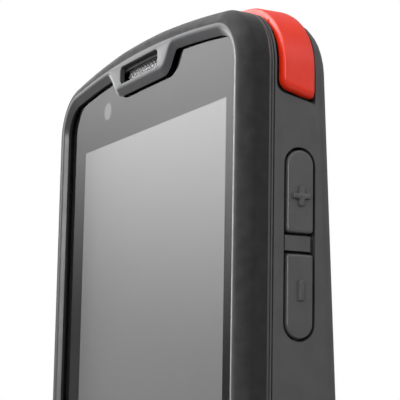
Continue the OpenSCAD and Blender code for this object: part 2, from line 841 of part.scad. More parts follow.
module end_cuts() {
    block(-scan_w / 2, scan_w / 2, scan_d, scan_d + scan_open, body_h - 8, body_h + past);
    usb_slot(0.35, -past, wall + past);
    for (x = pad_spots) translate([x, usb_mid_d - mid_d, -past])
        cylinder(r = pad_r + 0.05, h = wall + 2 * past);
    translate([mic_x, usb_mid_d - mid_d, -past]) cylinder(r = 0.5, h = wall + 2 * past);
    on_slope() {
        bar_d(rear_cam_x, rear_cam_z, rear_cam_r + seat, body_t - wall - past, body_t + past);
        bar_d(flash_x, rear_cam_z, flash_r + seat, body_t - wall - past, body_t + past);
        for (i = [0:4]) block(-6, 6, body_t - wall - past, body_t + past,
                              speaker_low_z + 1.4 + 1.8 * i, speaker_low_z + 2.3 + 1.8 * i);
    }
}

module rear_housing() {
    line_d = parting_d + 0.25;
    line_depth = 0.6;
    color("#4b4b4d") difference() {
        union() {
            difference() {
                rear_form();
                hollow();
            }
            housing_cores();
        }
        slab(line_d, line_d + 0.2) difference() {
            polygon(body_outline(-past, -past));
            polygon(body_outline(line_depth, line_depth * base_share));
        }
        battery_cuts();
        door_cuts();
        key_cuts();
        lanyard_cuts();
        latch_cuts();
        fastening_cuts();
        end_cuts();
    }
}

module scan_window() {
    recess = 0.4;
    color("#3a1014") slab(scan_d + seat, scan_d + scan_open - seat) intersection() {
        difference() {
            polygon(body_outline(recess, recess));
            polygon(body_outline(wall, wall));
        }
        flat_box(-scan_w / 2 + seat, scan_w / 2 - seat, body_h - 8, body_h);
    }
}

module scan_engine() {
    color("#3b3d40") block(-engine_w / 2, engine_w / 2, engine_d, engine_d + engine_t,
                           engine_top_z - engine_h, engine_top_z);
}

// Receiving lens, aimer and lamp on the engine's upper face
module scan_optics() {
    lens_mid_d = engine_d + engine_t / 2 - mid_d;
    color("#5c2228") {
        translate([-engine_w / 4, lens_mid_d, engine_top_z]) cylinder(r = 2.3, h = 1);
        translate([engine_w / 10, lens_mid_d, engine_top_z]) cylinder(r = 1.2, h = 0.8);
        block(engine_w / 4, engine_w / 2 - 1, engine_d + 1.5, engine_d + engine_t - 1.5,
              engine_top_z, engine_top_z + 0.8);
    }
}

// Tray that carries the engine on the chassis, with a lug on each side
module scan_bracket() {
    tray_d = plate_d + plate_t;
    color("#a7aaac") {
        block(-engine_w / 2, engine_w / 2, tray_d, engine_d, engine_top_z - engine_h, engine_top_z);
        both_sides() block(engine_w / 2 + seat, engine_w / 2 + 1, tray_d, engine_d + 3,
                           engine_top_z - engine_h + 3, engine_top_z - 3);
        block(-engine_w / 2 - 1, engine_w / 2 + 1, tray_d, engine_d, engine_top_z - engine_h + 3,
              engine_top_z - 3);
    }
}

module rear_camera() {
    lens_r = 2.6;
    color("#202226") on_slope() {
        block(rear_cam_x - 4.4, rear_cam_x + 4.4, body_t - wall - 5.6, body_t - wall - 0.2,
              rear_cam_z - 4.4, rear_cam_z + 4.4);
        bar_d(rear_cam_x, rear_cam_z, lens_r, body_t - wall - 0.2, body_t - 1.3);
    }
}

module rear_camera_window() {
    color("#101214") on_slope() bar_d(rear_cam_x, rear_cam_z, rear_cam_r, body_t - 1.2, body_t - 0.2);
}

module flash_lens() {
    color("#e6e2cf") on_slope() bar_d(flash_x, rear_cam_z, flash_r, body_t - wall, body_t - 0.1);
}

// Flexible aerials against the side walls, one up on the left and one low on the right
module antenna() {
    foil_t = 0.15;
    foil_w = 5.4;
    high_z = body_h - corner_r - 2;
    color("#b5702a") {
        mirror([1, 0, 0])
            block(inner_x - seat - foil_t, inner_x - seat, board_d, board_d + foil_w,
                  door_z + door_l / 2 + 4, high_z);
        block(inner_x - seat - foil_t, inner_x - seat, board_d, board_d + foil_w, foot_r + 10,
              trigger_z - trigger_l / 2 - 10);
    }
}

flange_x = inner_x - loose - flange_t;
seal_x = flange_x - trigger_travel - 0.7;
seal_t = 0.6;
switch_x = seal_x - seat - 0.6;

// Rubber strip behind the volume keys
module volume_key_seal() {
    color("#141415") block(seal_x, seal_x + seal_t, key_d - 2.8, key_d + 2.8, recess_low_z, recess_top_z);
}

// Snap domes under the keys on strips that stand on the chassis, and the corner key's own
// switch
key_places = [(recess_top_z + bridge_z) / 2, (recess_low_z + bridge_z) / 2];
module key_switches() {
    strip_t = 0.4;
    strip_x = switch_x - strip_t;
    strip_d = plate_d + plate_t;
    color("#c0a25a") {
        block(strip_x, switch_x, strip_d, key_d + 2.4, trigger_z - 5, recess_top_z - 1);
        for (z = concat(key_places, [trigger_z])) bar_x(key_d, z, 1.8, switch_x, switch_x + 0.6);
        mirror([1, 0, 0]) {
            block(strip_x, switch_x, strip_d, key_d + 2.4, trigger_z - 5, trigger_z + 5);
            bar_x(key_d, trigger_z, 1.8, switch_x, switch_x + 0.6);
        }
        along_corner(2.2, plunger_low - corner_key_travel - 0.2, 2.2);
    }
}

// A screw's shank and pan head for one place on the back
module housing_screw(p) {
    head_d = back_d(p.y) - head_t - 0.5;
    bar_d(p.x, p.y, screw_r, plate_d + seat, head_d + skin);
    difference() {
        bar_d(p.x, p.y, head_r, head_d, head_d + head_t);
        bar_d(p.x, p.y, 0.9, head_d + 0.5, head_d + head_t + past);
    }
}
module housing_screws() {
    color("#37383a") both_sides() for (p = screw_spots) housing_screw(p);
}

module strap_inserts() {
    color("#b08d4a") both_sides() for (p = insert_spots) difference() {
        bar_d(p.x, p.y, insert_outer_r, insert_face_d - insert_l, insert_face_d);
        bar_d(p.x, p.y, insert_r, insert_face_d - insert_l - past, insert_face_d + past);
    }
}

// Contact block on the board, reaching through the floor of the battery well
module battery_contacts() {
    color("#191a1c") block(-contact_w / 2, contact_w / 2, parts_d, case_d - loose, contact_z - 1.9,
                           contact_z + 1.9);
    color("#c9a24a") for (i = [-1.5:1.5])
        block(i * 3 - 0.6, i * 3 + 0.6, case_d - loose, case_d - 0.05, contact_z - 1.2, contact_z + 1.2);
}

// Flat gasket on the ledge around the battery well
module well_gasket() {
    color("#141415") difference() {
        slab(cover_d - loose, cover_d - 0.05) translate([0, cover_z + cover_h / 2])
            round_rect(cover_w + cover_gap, cover_h + cover_gap, 2.8);
        slab(cover_d - past, body_t) translate([0, (case_low_z - loose + well_top_z) / 2])
            round_rect(well_w + 2 * seat, well_top_z - case_low_z + loose + 2 * seat, well_r + seat);
    }
}

module lanyard_pin() {
    color("#a9acae") mirror([1, 0, 0])
        bar_d(lanyard_x, lanyard_z, lanyard_r, lanyard_d - 2.6, lanyard_d + 3);
}

// Cap with a bevelled edge, its neck through the wall and the flange that holds it in
module volume_key(upper) {
    bevel = 0.15;
    hull() {
        side_slab(side_x - recess_depth + seat, side_x + key_proud - bevel) key_face(upper, 0);
        side_slab(side_x + key_proud - skin, side_x + key_proud) key_face(upper, -bevel);
    }
    side_slab(flange_x + flange_t - skin, side_x - recess_depth + 2 * seat) key_face(upper, 0);
    side_slab(flange_x, flange_x + flange_t) key_face(upper, flange_lap);
}
// A bar of a raised sign, standing or lying
module sign_bar(z, standing) {
    w = standing ? sign_w : sign_l;
    h = standing ? sign_l : sign_w;
    face_x = side_x + key_proud;
    block(face_x - skin, face_x + sign_h, key_d - w / 2, key_d + w / 2, z - h / 2, z + h / 2);
}

module volume_up_key() {
    z = (recess_top_z + bridge_z + bridge_h / 2) / 2;
    color("#4e4e50") {
        volume_key(true);
        sign_bar(z, true);
        sign_bar(z, false);
    }
}

module volume_down_key() {
    z = (recess_low_z + bridge_z - bridge_h / 2) / 2;
    color("#4e4e50") {
        volume_key(false);
        sign_bar(z, true);
    }
}

// Cap that wraps the corner, with a bevelled rim, on a plunger held in by its flange
plunger_low = corner_r - corner_floor - corner_floor_t - 1.3;
module corner_key() {
    bevel = 0.5;
    low_d = corner_key_d;
    high_d = corner_key_d + corner_key_w;
    color("#e04a38") {
        for (step = [0:3]) {
            a = 90 * step / 4;
            corner_band(corner_key_proud - bevel * (1 - sin(a)), corner_cap_t, low_d + bevel * (1 - cos(a)),
                        high_d - bevel * (1 - cos(a)), -bevel * (1 - cos(a)));
        }
        corner_band(corner_key_proud, corner_cap_t, low_d + bevel, high_d - bevel, -bevel);
        along_corner(plunger_low, corner_r - corner_cap_t + 0.3, plunger_r);
        along_corner(plunger_low, plunger_low + 0.6, plunger_r + 0.6);
    }
}

// Scan trigger: a ribbed cap, its neck and its flange
module trigger() {
    bevel = 0.3;
    proud = corner_key_proud;
    ribs = 7;
    pitch = (trigger_l - trigger_w) / (ribs - 1);
    difference() {
        union() {
            side_slab(flange_x + flange_t - skin, side_x + proud - bevel) trigger_face(0);
            side_slab(side_x + proud - bevel - skin, side_x + proud) trigger_face(-bevel);
            side_slab(flange_x, flange_x + flange_t) trigger_face(flange_lap);
        }
        for (i = [0:ribs - 1])
            translate([0, 0, trigger_z + (i - (ribs - 1) / 2) * pitch])
                block(side_x + proud - 0.35, side_x + proud + past, key_d - trigger_w / 2 + 1,
                      key_d + trigger_w / 2 - 1, -0.4, 0.4);
    }
}
module right_trigger() {
    color("#39393b") trigger();
}
module left_trigger() {
    color("#39393b") mirror([1, 0, 0]) trigger();
}

// Battery pack: an open tray with two toes, the cells in it, and the cover that closes it
cell_wall = 0.8;
module battery_case() {
    color("#303032") difference() {
        union() {
            slab(case_d, cover_d) translate([0, (case_low_z + case_top_z) / 2])
                round_rect(case_w, case_top_z - case_low_z, well_r - loose);
            both_sides() block(toe_x - toe_w / 2, toe_x + toe_w / 2, toe_d, toe_d + toe_t,
                               cover_z - toe_l, case_low_z + past);
        }
        block(-case_w / 2 + cell_wall, case_w / 2 - cell_wall, case_d + cell_wall, cover_d + past,
              case_low_z + cell_wall, case_top_z - cell_wall);
        block(-contact_w / 2 - loose, contact_w / 2 + loose, case_d - past, case_d + pad_t,
              contact_z - 1.9, contact_z + 1.9);
    }
}
pad_t = 0.3;
module battery_cell() {
    color("#7e858c") block(-case_w / 2 + cell_wall + seat, case_w / 2 - cell_wall - seat,
                           case_d + cell_wall + seat, cover_d - loose, case_low_z + cell_wall + seat,
                           case_top_z - cell_wall - seat);
}
module battery_cover() {
    color("#464648") slab(cover_d, body_t) translate([0, cover_z + cover_h / 2])
        round_rect(cover_w, cover_h, 2.7);
}
module battery_pads() {
    color("#c9a24a") for (i = [-1.5:1.5])
        block(i * 3 - 1, i * 3 + 1, case_d, case_d + pad_t, contact_z - 1.6, contact_z + 1.6);
}

// Latch that slides across to free the pack, with three grip ridges
module battery_latch() {
    low_z = bed_low_z + 0.5;
    high_z = low_z + bed_h - 1.1;
    color("#5a5a5c") {
        block(-latch_l / 2, latch_l / 2, latch_d + seat, latch_d + 0.7, low_z + 0.2, high_z - 0.2);
        block(-latch_l / 2, latch_l / 2, latch_d + 0.7 - skin, latch_d + 1.2, low_z + 0.7, high_z - 0.7);
        for (i = [-1:1])
            block(i * 2 - 0.4, i * 2 + 0.4, latch_d + 1.2 - skin, latch_d + 1.5, low_z + 1, high_z - 1);
    }
}

// Door over the card bay, flush with the left side and hinged along its rear edge
module card_door() {
    color("#414143") mirror([1, 0, 0]) difference() {
        union() {
            side_slab(side_x - door_t, side_x) translate([door_d + door_w / 2, door_z])
                round_rect(door_w, door_l, 0.8);
            for (z = arm_places) {
                block(side_x - door_t, side_x, door_d + door_w - past, pin_d, z - arm_l / 2, z + arm_l / 2);
                translate([pin_x, pin_d - mid_d, z - arm_l / 2]) cylinder(r = knuckle_r, h = arm_l);
            }
        }
        translate([pin_x, pin_d - mid_d, door_z - door_l]) cylinder(r = door_pin_r + 0.05, h = 2 * door_l);
        block(side_x - 0.7, side_x + past, door_d - past, door_d + 0.8, door_z - 2.5, door_z + 2.5);
    }
}

module card_door_seal() {
    color("#141415") mirror([1, 0, 0])
        side_slab(side_x - door_t - 0.8, side_x - door_t) translate([bay_d + bay_w / 2 - 0.4, door_z])
            round_rect(bay_w - 1.2, bay_l - 0.6, 0.8);
}

module door_hinge_pin() {
    color("#a9acae") mirror([1, 0, 0]) translate([pin_x, pin_d - mid_d, door_z - door_l / 2 - 2])
        cylinder(r = door_pin_r, h = door_l + 4);
}

front_frame();
screen_gasket();
cover_glass();
display_module();
earpiece_grille();
earpiece_receiver();
front_camera();
chassis();
housing_seal();
main_board();
shield_cans();
board_screws();
dock_board();
dock_flex();
usb_socket();
charge_contacts();
microphone();
vibration_motor();
loudspeaker();
card_reader();
rear_housing();
scan_window();
scan_engine();
scan_optics();
scan_bracket();
rear_camera();
rear_camera_window();
flash_lens();
antenna();
volume_key_seal();
key_switches();
housing_screws();
strap_inserts();
battery_contacts();
well_gasket();
lanyard_pin();
volume_up_key();
volume_down_key();
corner_key();
right_trigger();
left_trigger();
battery_case();
battery_cell();
battery_cover();
battery_pads();
battery_latch();
card_door();
card_door_seal();
door_hinge_pin();
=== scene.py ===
# %% [markdown]
# # A rugged barcode data terminal, dressed around its exact solids
# The imported model gives every solid of the terminal, with its size and place. This lesson
# puts looks on it: moulded skins with soft edges, a dark overmoulded front frame, keys,
# glass, and the light of a small product studio.
# First the frame is loaded.

# %% Load the fixed frame
import json

import bmesh
import bpy
import numpy as np
from mathutils import Matrix, Vector

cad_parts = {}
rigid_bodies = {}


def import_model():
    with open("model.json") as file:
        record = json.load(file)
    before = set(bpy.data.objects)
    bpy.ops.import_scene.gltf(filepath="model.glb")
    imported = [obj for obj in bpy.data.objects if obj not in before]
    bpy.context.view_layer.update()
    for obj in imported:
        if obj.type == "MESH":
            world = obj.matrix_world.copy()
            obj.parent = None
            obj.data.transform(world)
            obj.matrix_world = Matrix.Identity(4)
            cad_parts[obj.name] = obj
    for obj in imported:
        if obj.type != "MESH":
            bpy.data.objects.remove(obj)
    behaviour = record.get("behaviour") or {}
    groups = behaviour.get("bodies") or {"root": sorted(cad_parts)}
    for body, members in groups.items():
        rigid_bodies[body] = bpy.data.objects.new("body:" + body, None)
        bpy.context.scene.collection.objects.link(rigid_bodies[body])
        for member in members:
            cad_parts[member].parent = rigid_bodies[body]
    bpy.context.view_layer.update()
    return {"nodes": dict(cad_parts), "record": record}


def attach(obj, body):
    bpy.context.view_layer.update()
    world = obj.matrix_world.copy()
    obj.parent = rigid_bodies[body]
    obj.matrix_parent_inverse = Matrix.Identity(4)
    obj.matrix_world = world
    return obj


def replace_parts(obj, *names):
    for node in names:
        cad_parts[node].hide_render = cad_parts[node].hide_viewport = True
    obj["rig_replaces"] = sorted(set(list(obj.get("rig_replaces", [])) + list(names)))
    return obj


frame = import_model()

# %% [markdown]
# ## Measures
# All sizes are written in millimetres, as on a drawing, and turned to metres only when a
# mesh is made. Depth runs from the front rim to the back; the frame puts the middle of the
# depth at Y = 0, so a depth becomes Y by taking half the body's thickness off.

# %% Sizes of the body, in millimetres
MM = 0.001
HALF_W, BODY_H, BODY_T = 39.0, 150.0, 19.0
MID_D = BODY_T / 2
CROWN_R, CORNER_R, FOOT_R = 240.0, 10.0, 8.0
BASE_SHARE = 0.35
WINDOW_HALF_W, WINDOW_SILL, WINDOW_TOP = 35.8, 13.0, 147.2
WINDOW_CROWN_R, WINDOW_CORNER_R, WINDOW_FOOT_R = 225.0, 7.0, 7.0
LIP_D, LIP_SLOPE, LIP_LEAN = 0.9, 1.25, 0.6
GLASS_D, GLASS_T = 1.45, 0.85
POCKET_WALL = 2.1
print("body:", 2 * HALF_W, "x", BODY_T, "x", BODY_H, "mm")

# %% [markdown]
# ## Outlines
# The terminal's outline is a tall plate with a shallow crown, two tighter upper corners and
# two lower ones. Every ring of the skins is this outline with another inset, so all rings
# get the same stations in the same order and can be joined into one grid.
# The ring starts at the left edge of the earpiece tab and runs down the left side, along the
# bottom and up the right side. The stretch across the tab closes it.

# %% Outline helpers
TAB_EDGE_X = 14.45
TAB_STATIONS = 97
CROWN_POINTS, CORNER_POINTS, SIDE_POINTS, FOOT_POINTS, BASE_POINTS = 16, 28, 24, 20, 16


def arc(cx, cz, r, start, stop, count):
    """Points (cx + r cos a, cz + r sin a) for count angles a, in degrees, without the last."""
    a = np.radians(np.linspace(start, stop, count, endpoint=False))
    return np.stack([cx + r * np.cos(a), cz + r * np.sin(a)], axis=1)


def straight(x0, z0, x1, z1, count):
    """count points evenly spaced from (x0, z0) towards (x1, z1), without the last."""
    t = np.linspace(0, 1, count, endpoint=False)[:, None]
    return (1 - t) * np.array([x0, z0]) + t * np.array([x1, z1])


def crown_z(x, top, big_r):
    """Height at x of a crown of radius big_r: top - big_r + sqrt(big_r^2 - x^2)."""
    return top - big_r + np.sqrt(big_r**2 - x**2)


def crowned(half_w, z0, z1, big_r, top_r, low_r):
    """Outline of a crowned plate from the tab's left edge on the crown, down the left side,
    along the bottom and up the right side to the tab's right edge. Straight lines and arcs
    meet in line: top_r and low_r round the corners, big_r the crown."""
    cx = half_w - top_r
    rise = np.sqrt((big_r - top_r) ** 2 - cx**2)
    cz = z1 - big_r + rise
    turn = np.degrees(np.arctan2(rise, cx))
    tab = np.degrees(np.arccos(TAB_EDGE_X / big_r))
    runs = [
        arc(0, z1 - big_r, big_r, 180 - tab, 180 - turn, CROWN_POINTS),
        arc(-cx, cz, top_r, 180 - turn, 180, CORNER_POINTS),
        straight(-half_w, cz, -half_w, z0 + low_r, SIDE_POINTS),
        arc(low_r - half_w, z0 + low_r, low_r, 180, 270, FOOT_POINTS),
        straight(low_r - half_w, z0, half_w - low_r, z0, BASE_POINTS),
        arc(half_w - low_r, z0 + low_r, low_r, 270, 360, FOOT_POINTS),
        straight(half_w, z0 + low_r, half_w, cz, SIDE_POINTS),
        arc(cx, cz, top_r, 0, turn, CORNER_POINTS),
        arc(0, z1 - big_r, big_r, turn, tab, CROWN_POINTS),
        np.array([[TAB_EDGE_X, crown_z(TAB_EDGE_X, z1, big_r)]]),
    ]
    return np.concatenate(runs)


def crown_over_tab(z1, big_r):
    """The crown's stretch above the tab, from right to left, without its two end points."""
    x = np.linspace(TAB_EDGE_X, -TAB_EDGE_X, TAB_STATIONS + 2)[1:-1]
    return np.stack([x, crown_z(x, z1, big_r)], axis=1)


def body_ring(inset):
    """Closed outline of the body, set in along sides and top, and less along the bottom."""
    big_r = CROWN_R - inset
    run = crowned(HALF_W - inset, inset * BASE_SHARE, BODY_H - inset, big_r,
                  CORNER_R - inset, FOOT_R - inset)
    return np.concatenate([run, crown_over_tab(BODY_H - inset, big_r)])


def place(outline, depth):
    """Points (x, z) of an outline, set at a depth, as rows (X, Y, Z) in millimetres."""
    depth = np.broadcast_to(depth, len(outline))
    return np.stack([outline[:, 0], depth - MID_D, outline[:, 1]], axis=1)


print("stations on a ring:", len(body_ring(0)))

# %% [markdown]
# ## From arrays to meshes
# A grid of points becomes quads by joining each point with its right and lower neighbour.
# Edges that turn by more than a set angle stay sharp and all others are shaded smooth.

# %% Mesh helpers
WELD, SOLID_WELD = 0.004, 0.003
FLAT_TURN, LOOSE_EDGE = 0.6, 4.0


def grid_quads(first, rows, cols, close_rows=False, close_cols=False):
    """Quads of a rows x cols grid whose points are numbered from first, row by row."""
    r = np.arange(rows if close_rows else rows - 1)
    c = np.arange(cols if close_cols else cols - 1)
    r, c = np.meshgrid(r, c, indexing="ij")
    r2, c2 = (r + 1) % rows, (c + 1) % cols
    quads = np.stack([r * cols + c, r * cols + c2, r2 * cols + c2, r2 * cols + c], axis=-1)
    return quads.reshape(-1, 4) + first


def welded(mesh, gap, flat_turn=None):
    """Welds points less than gap millimetres apart, joins faces that turn by less than
    flat_turn degrees, and turns all faces outwards."""
    b = bmesh.new()
    b.from_mesh(mesh)
    bmesh.ops.remove_doubles(b, verts=b.verts, dist=gap * MM)
    if flat_turn:
        bmesh.ops.dissolve_limit(b, angle_limit=np.radians(flat_turn), verts=b.verts, edges=b.edges)
    bmesh.ops.recalc_face_normals(b, faces=b.faces)
    b.to_mesh(mesh)
    b.free()


def shade(mesh, sharp_angle):
    """Smooth shading, with a sharp edge wherever two faces meet at more than sharp_angle
    degrees. A loose edge counts as one that turns by LOOSE_EDGE radians."""
    b = bmesh.new()
    b.from_mesh(mesh)
    for face in b.faces:
        face.smooth = True
    for edge in b.edges:
        edge.smooth = bool(edge.calc_face_angle(LOOSE_EDGE) < np.radians(sharp_angle))
    b.to_mesh(mesh)
    b.free()


print("quads in a grid of 3 by 4 points:", len(grid_quads(0, 3, 4)))

# %% [markdown]
# A piece is an object that rides on one body and stands for one or more solids. It is either
# drawn from points and faces, or it is a solid's own copy whose edges get rounded.

# %% Pieces
BEVEL_STEPS = 2


def set_up(name, mesh, sharp, body, *replaced):
    """Shades a mesh and puts it on its body, in place of the solids it stands for."""
    shade(mesh, sharp)
    piece = bpy.data.objects.new(name, mesh)
    bpy.context.scene.collection.objects.link(piece)
    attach(piece, body)
    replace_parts(piece, *replaced)
    return piece


def new_piece(name, points, faces, body, *replaced, sharp, marks=None):
    """Piece from points in millimetres and faces, welded and facing outwards. Marks are
    numbers that the faces carry, to tell regions of one moulding apart."""
    mesh = bpy.data.meshes.new(name)
    mesh.from_pydata((np.asarray(points) * MM).tolist(), [], [list(map(int, f)) for f in faces])
    if marks is not None:
        mesh.attributes.new("region", "INT", "FACE").data.foreach_set("value", marks)
    welded(mesh, WELD)
    piece = set_up(name, mesh, sharp, body, *replaced)
    print(name, len(mesh.vertices), "points,", len(mesh.polygons), "faces")
    return piece


def softened(solid, body, width, sharp):
    """A merged copy of a solid, with every edge that turns by more than sharp degrees rounded
    by width millimetres."""
    mesh = frame["nodes"][solid].data.copy()
    welded(mesh, SOLID_WELD, FLAT_TURN)
    mesh.materials.clear()
    piece = set_up(solid + "_soft", mesh, sharp, body, solid)
    bevel = piece.modifiers.new("soft edges", "BEVEL")
    bevel.width, bevel.segments = width * MM, BEVEL_STEPS
    bevel.limit_method, bevel.angle_limit = "ANGLE", np.radians(sharp)
    bevel.use_clamp_overlap = bevel.harden_normals = True
    print(piece.name, len(mesh.polygons), "faces before rounding")


print("steps round a softened edge:", BEVEL_STEPS)

# %% [markdown]
# ## Front frame
# On the real product the front frame is one moulding with a dark soft-touch overmould. Its
# section is a closed loop: the bead of the lip, its slope down to the glass, the pocket
# that holds glass and display, the rear edge, the straight side and the round shoulder.
# Carrying that section round the outline gives the whole frame as one grid.
# The tab with the earpiece slot breaks the pattern, so there the flat rim and the lip's
# underside are drawn as rings between the slot and the tab's edge instead.

# %% Path of the window's edge, with the tab in it
SLOT_HALF_W, SLOT_H, SLOT_Z = 7.95, 3.2, 145.2
TAB_LOW_Z = 143.0
TAB_HALF_W, TAB_FLARE_X = 10.2, 12.95
TAB_FLARE_EASE, TAB_LOW_EASE = 1.45, 1.3
EASE_POINTS = 13


def bend(start, corner, stop, count):
    """Parabola from start to stop that leaves and meets them along the corner's sides:
    (1 - t)^2 start + 2 t (1 - t) corner + t^2 stop."""
    t = np.linspace(0, 1, count)[:, None]
    return (1 - t) ** 2 * np.array(start) + 2 * t * (1 - t) * np.array(corner) + t**2 * np.array(stop)


def at_shares(path, shares):
    """Points of a path at the given shares of its length."""
    run = np.concatenate([[0], np.cumsum(np.linalg.norm(np.diff(path, axis=0), axis=1))])
    return np.stack([np.interp(shares * run[-1], run, path[:, k]) for k in (0, 1)], axis=1)


def eased_path(corners, cuts, count):
    """Straight lines between corners, each inner corner replaced by a parabola that starts
    and ends cut millimetres from it, then divided in even steps."""
    corners = np.array(corners, float)
    parts = [corners[:1]]
    for a, b, c, cut in zip(corners[:-2], corners[1:-1], corners[2:], cuts):
        start = b + (a - b) / np.linalg.norm(a - b) * cut
        stop = b + (c - b) / np.linalg.norm(c - b) * cut
        parts.append(bend(start, b, stop, EASE_POINTS))
    return at_shares(np.concatenate(parts + [corners[-1:]]), np.linspace(0, 1, count))


window_run = crowned(WINDOW_HALF_W, WINDOW_SILL, WINDOW_TOP, WINDOW_CROWN_R,
                     WINDOW_CORNER_R, WINDOW_FOOT_R)
flare_z = crown_z(TAB_FLARE_X, WINDOW_TOP, WINDOW_CROWN_R)
edge_z = crown_z(TAB_EDGE_X, WINDOW_TOP, WINDOW_CROWN_R)
tab_run = eased_path(
    [(TAB_EDGE_X, edge_z), (TAB_FLARE_X, flare_z), (TAB_HALF_W, TAB_LOW_Z),
     (-TAB_HALF_W, TAB_LOW_Z), (-TAB_FLARE_X, flare_z), (-TAB_EDGE_X, edge_z)],
    [TAB_FLARE_EASE, TAB_LOW_EASE, TAB_LOW_EASE, TAB_FLARE_EASE], TAB_STATIONS + 2)
window_edge = np.concatenate([window_run, tab_run[1:-1]])
TAB_FIRST = len(window_run) - 1


def inward_normals(path):
    """Unit normals of a closed path that runs anticlockwise, pointing into it."""
    along = np.roll(path, -1, axis=0) - np.roll(path, 1, axis=0)
    along /= np.linalg.norm(along, axis=1)[:, None]
    return np.stack([-along[:, 1], along[:, 0]], axis=1)


window_normals = inward_normals(window_edge)
print("tab reaches down to Z", TAB_LOW_Z, "mm")

# %% [markdown]
# The section is drawn as pairs of inset and depth. The shoulder is a quarter of a
# superellipse, which is rounder or squarer than a circle as its power says. It is wide on
# the sides and tight on the crown, so there are two of it.

# %% Front frame: its section
# Inset, depth and power of the shoulder
SIDE_SHOULDER, CROWN_SHOULDER = (2.1, 2.0, 1.6), (1.4, 1.3, 2.0)
SHOULDER_POINTS, STRIP_POINTS, BEAD_POINTS = 18, 7, 7
BEAD_W = 0.65
FLANK_D, STRIP_D, FRAME_END_D = 2.4, 4.42, 5.0
FRAME_END_ROUND = 0.32
LIP_FOOT_D = 0.85


def round_over(width, depth, power):
    """Quarter of a superellipse from inset width at the front to inset 0 at depth d = depth:
    (1 - inset / width)^power + (1 - d / depth)^power = 1."""
    t = np.linspace(0, np.pi / 2, SHOULDER_POINTS)
    inset = width * (1 - np.sin(t) ** (2 / power))
    return np.stack([inset, depth * (1 - np.cos(t) ** (2 / power))], axis=1)


def lip_section(bead_end, foot, reach):
    """The bead, rounded from the rim down to its end, then the flank to its foot, and the
    turn to the lip's last point, reach millimetres in."""
    return np.concatenate([bend((-BEAD_W, 0.0), (0.0, 0.0), bead_end, BEAD_POINTS),
                           [[foot, LIP_FOOT_D], [reach, LIP_D]]])


# Behind the shoulder come the flank, the elastomer's rounded end and the bare rear strip
rear_section = np.concatenate([
    [[0.0, FLANK_D], [0.0, STRIP_D - 0.12]],
    bend((0, STRIP_D - 0.1), (0, STRIP_D), (0.06, STRIP_D), 4),
    bend((0.02, STRIP_D + 0.03), (0.0, FRAME_END_D - 0.1), (FRAME_END_ROUND, FRAME_END_D), STRIP_POINTS)])
side_outer = np.concatenate([round_over(*SIDE_SHOULDER), rear_section])
crown_outer = np.concatenate([round_over(*CROWN_SHOULDER), rear_section])
# The lip slopes at the top, the tab and the bottom, and stands almost upright at the sides
end_lip = lip_section((0.25, 0.18), 1.18, LIP_SLOPE)
side_lip = lip_section((0.14, 0.21), 0.57, LIP_LEAN)
print("points in the frame's section:", len(side_outer) + len(side_lip) + 2)

# %% [markdown]
# The section now goes round the outline. Each of its points gives one closed column of
# stations, and all columns side by side are the grid. Where the tab interrupts the lip, the
# strips of the flat rim and of the lip's underside are left out, to be drawn round the slot.

# %% Front frame: the grid round the outline
CROWN_FULL_X, CROWN_NONE_X = 8.0, 30.0
sideways = np.where(np.arange(len(window_edge)) < TAB_FIRST, window_normals[:, 0] ** 2, 0.0)
# Columns from the window's rim down the lip, through the pocket and round the outside
columns = []
for end, side in zip(end_lip, side_lip):
    inset, lip_depth = np.outer(end, 1 - sideways) + np.outer(side, sideways)
    columns.append(place(window_edge + inset[:, None] * window_normals, lip_depth))
FOOT_COLUMN = len(columns) - 1
columns += [place(body_ring(POCKET_WALL), LIP_D), place(body_ring(POCKET_WALL), FRAME_END_D)]
# The shoulder is tightest in the middle of the crown, and grows towards the corners
outline = body_ring(0)
crown_share = np.clip((CROWN_NONE_X - np.abs(outline[:, :1])) / (CROWN_NONE_X - CROWN_FULL_X), 0, 1)
crown_share = crown_share * (outline[:, 1:] > BODY_H / 2)
for (side_inset, side_d), (crown_inset, crown_d) in zip(side_outer[::-1], crown_outer[::-1]):
    columns.append((1 - crown_share) * place(body_ring(side_inset), side_d)
                   + crown_share * place(body_ring(crown_inset), crown_d))
section_n, station_n = len(columns), len(window_edge)
frame_grid = np.stack(columns)
quads = grid_quads(0, section_n, station_n, close_rows=True, close_cols=True)
row = quads[:, 0] // station_n
station = quads[:, 0] % station_n
outer_at = section_n - 1 - row
# The elastomer covers the outside, from the lip's bead to the start of the rear strip
elastomer = (outer_at >= 0) & (outer_at <= len(side_outer) - STRIP_POINTS)
over_tab = station >= TAB_FIRST
keep = ~(over_tab & ((row == section_n - 1) | (row == FOOT_COLUMN)))
print("frame grid:", section_n, "columns of", station_n, "stations")

# %% [markdown]
# The tab is closed by rings between its own edge and the slot. Both edges get the same
# stations, shared out so that flanks lie beside the slot's ends and level parts beside its
# long edges, which keeps the faces between them even.

# %% Front frame: the tab and its slot
SLOT_EASE, SLOT_POINTS = 1.1, 401
SLOT_ROUND, SLOT_STEP_D = 0.18, 0.3


def closing_ring(run):
    """Stations across the tab, from the right seam to the left one, both included."""
    return np.concatenate([run[TAB_FIRST:], run[:1]])


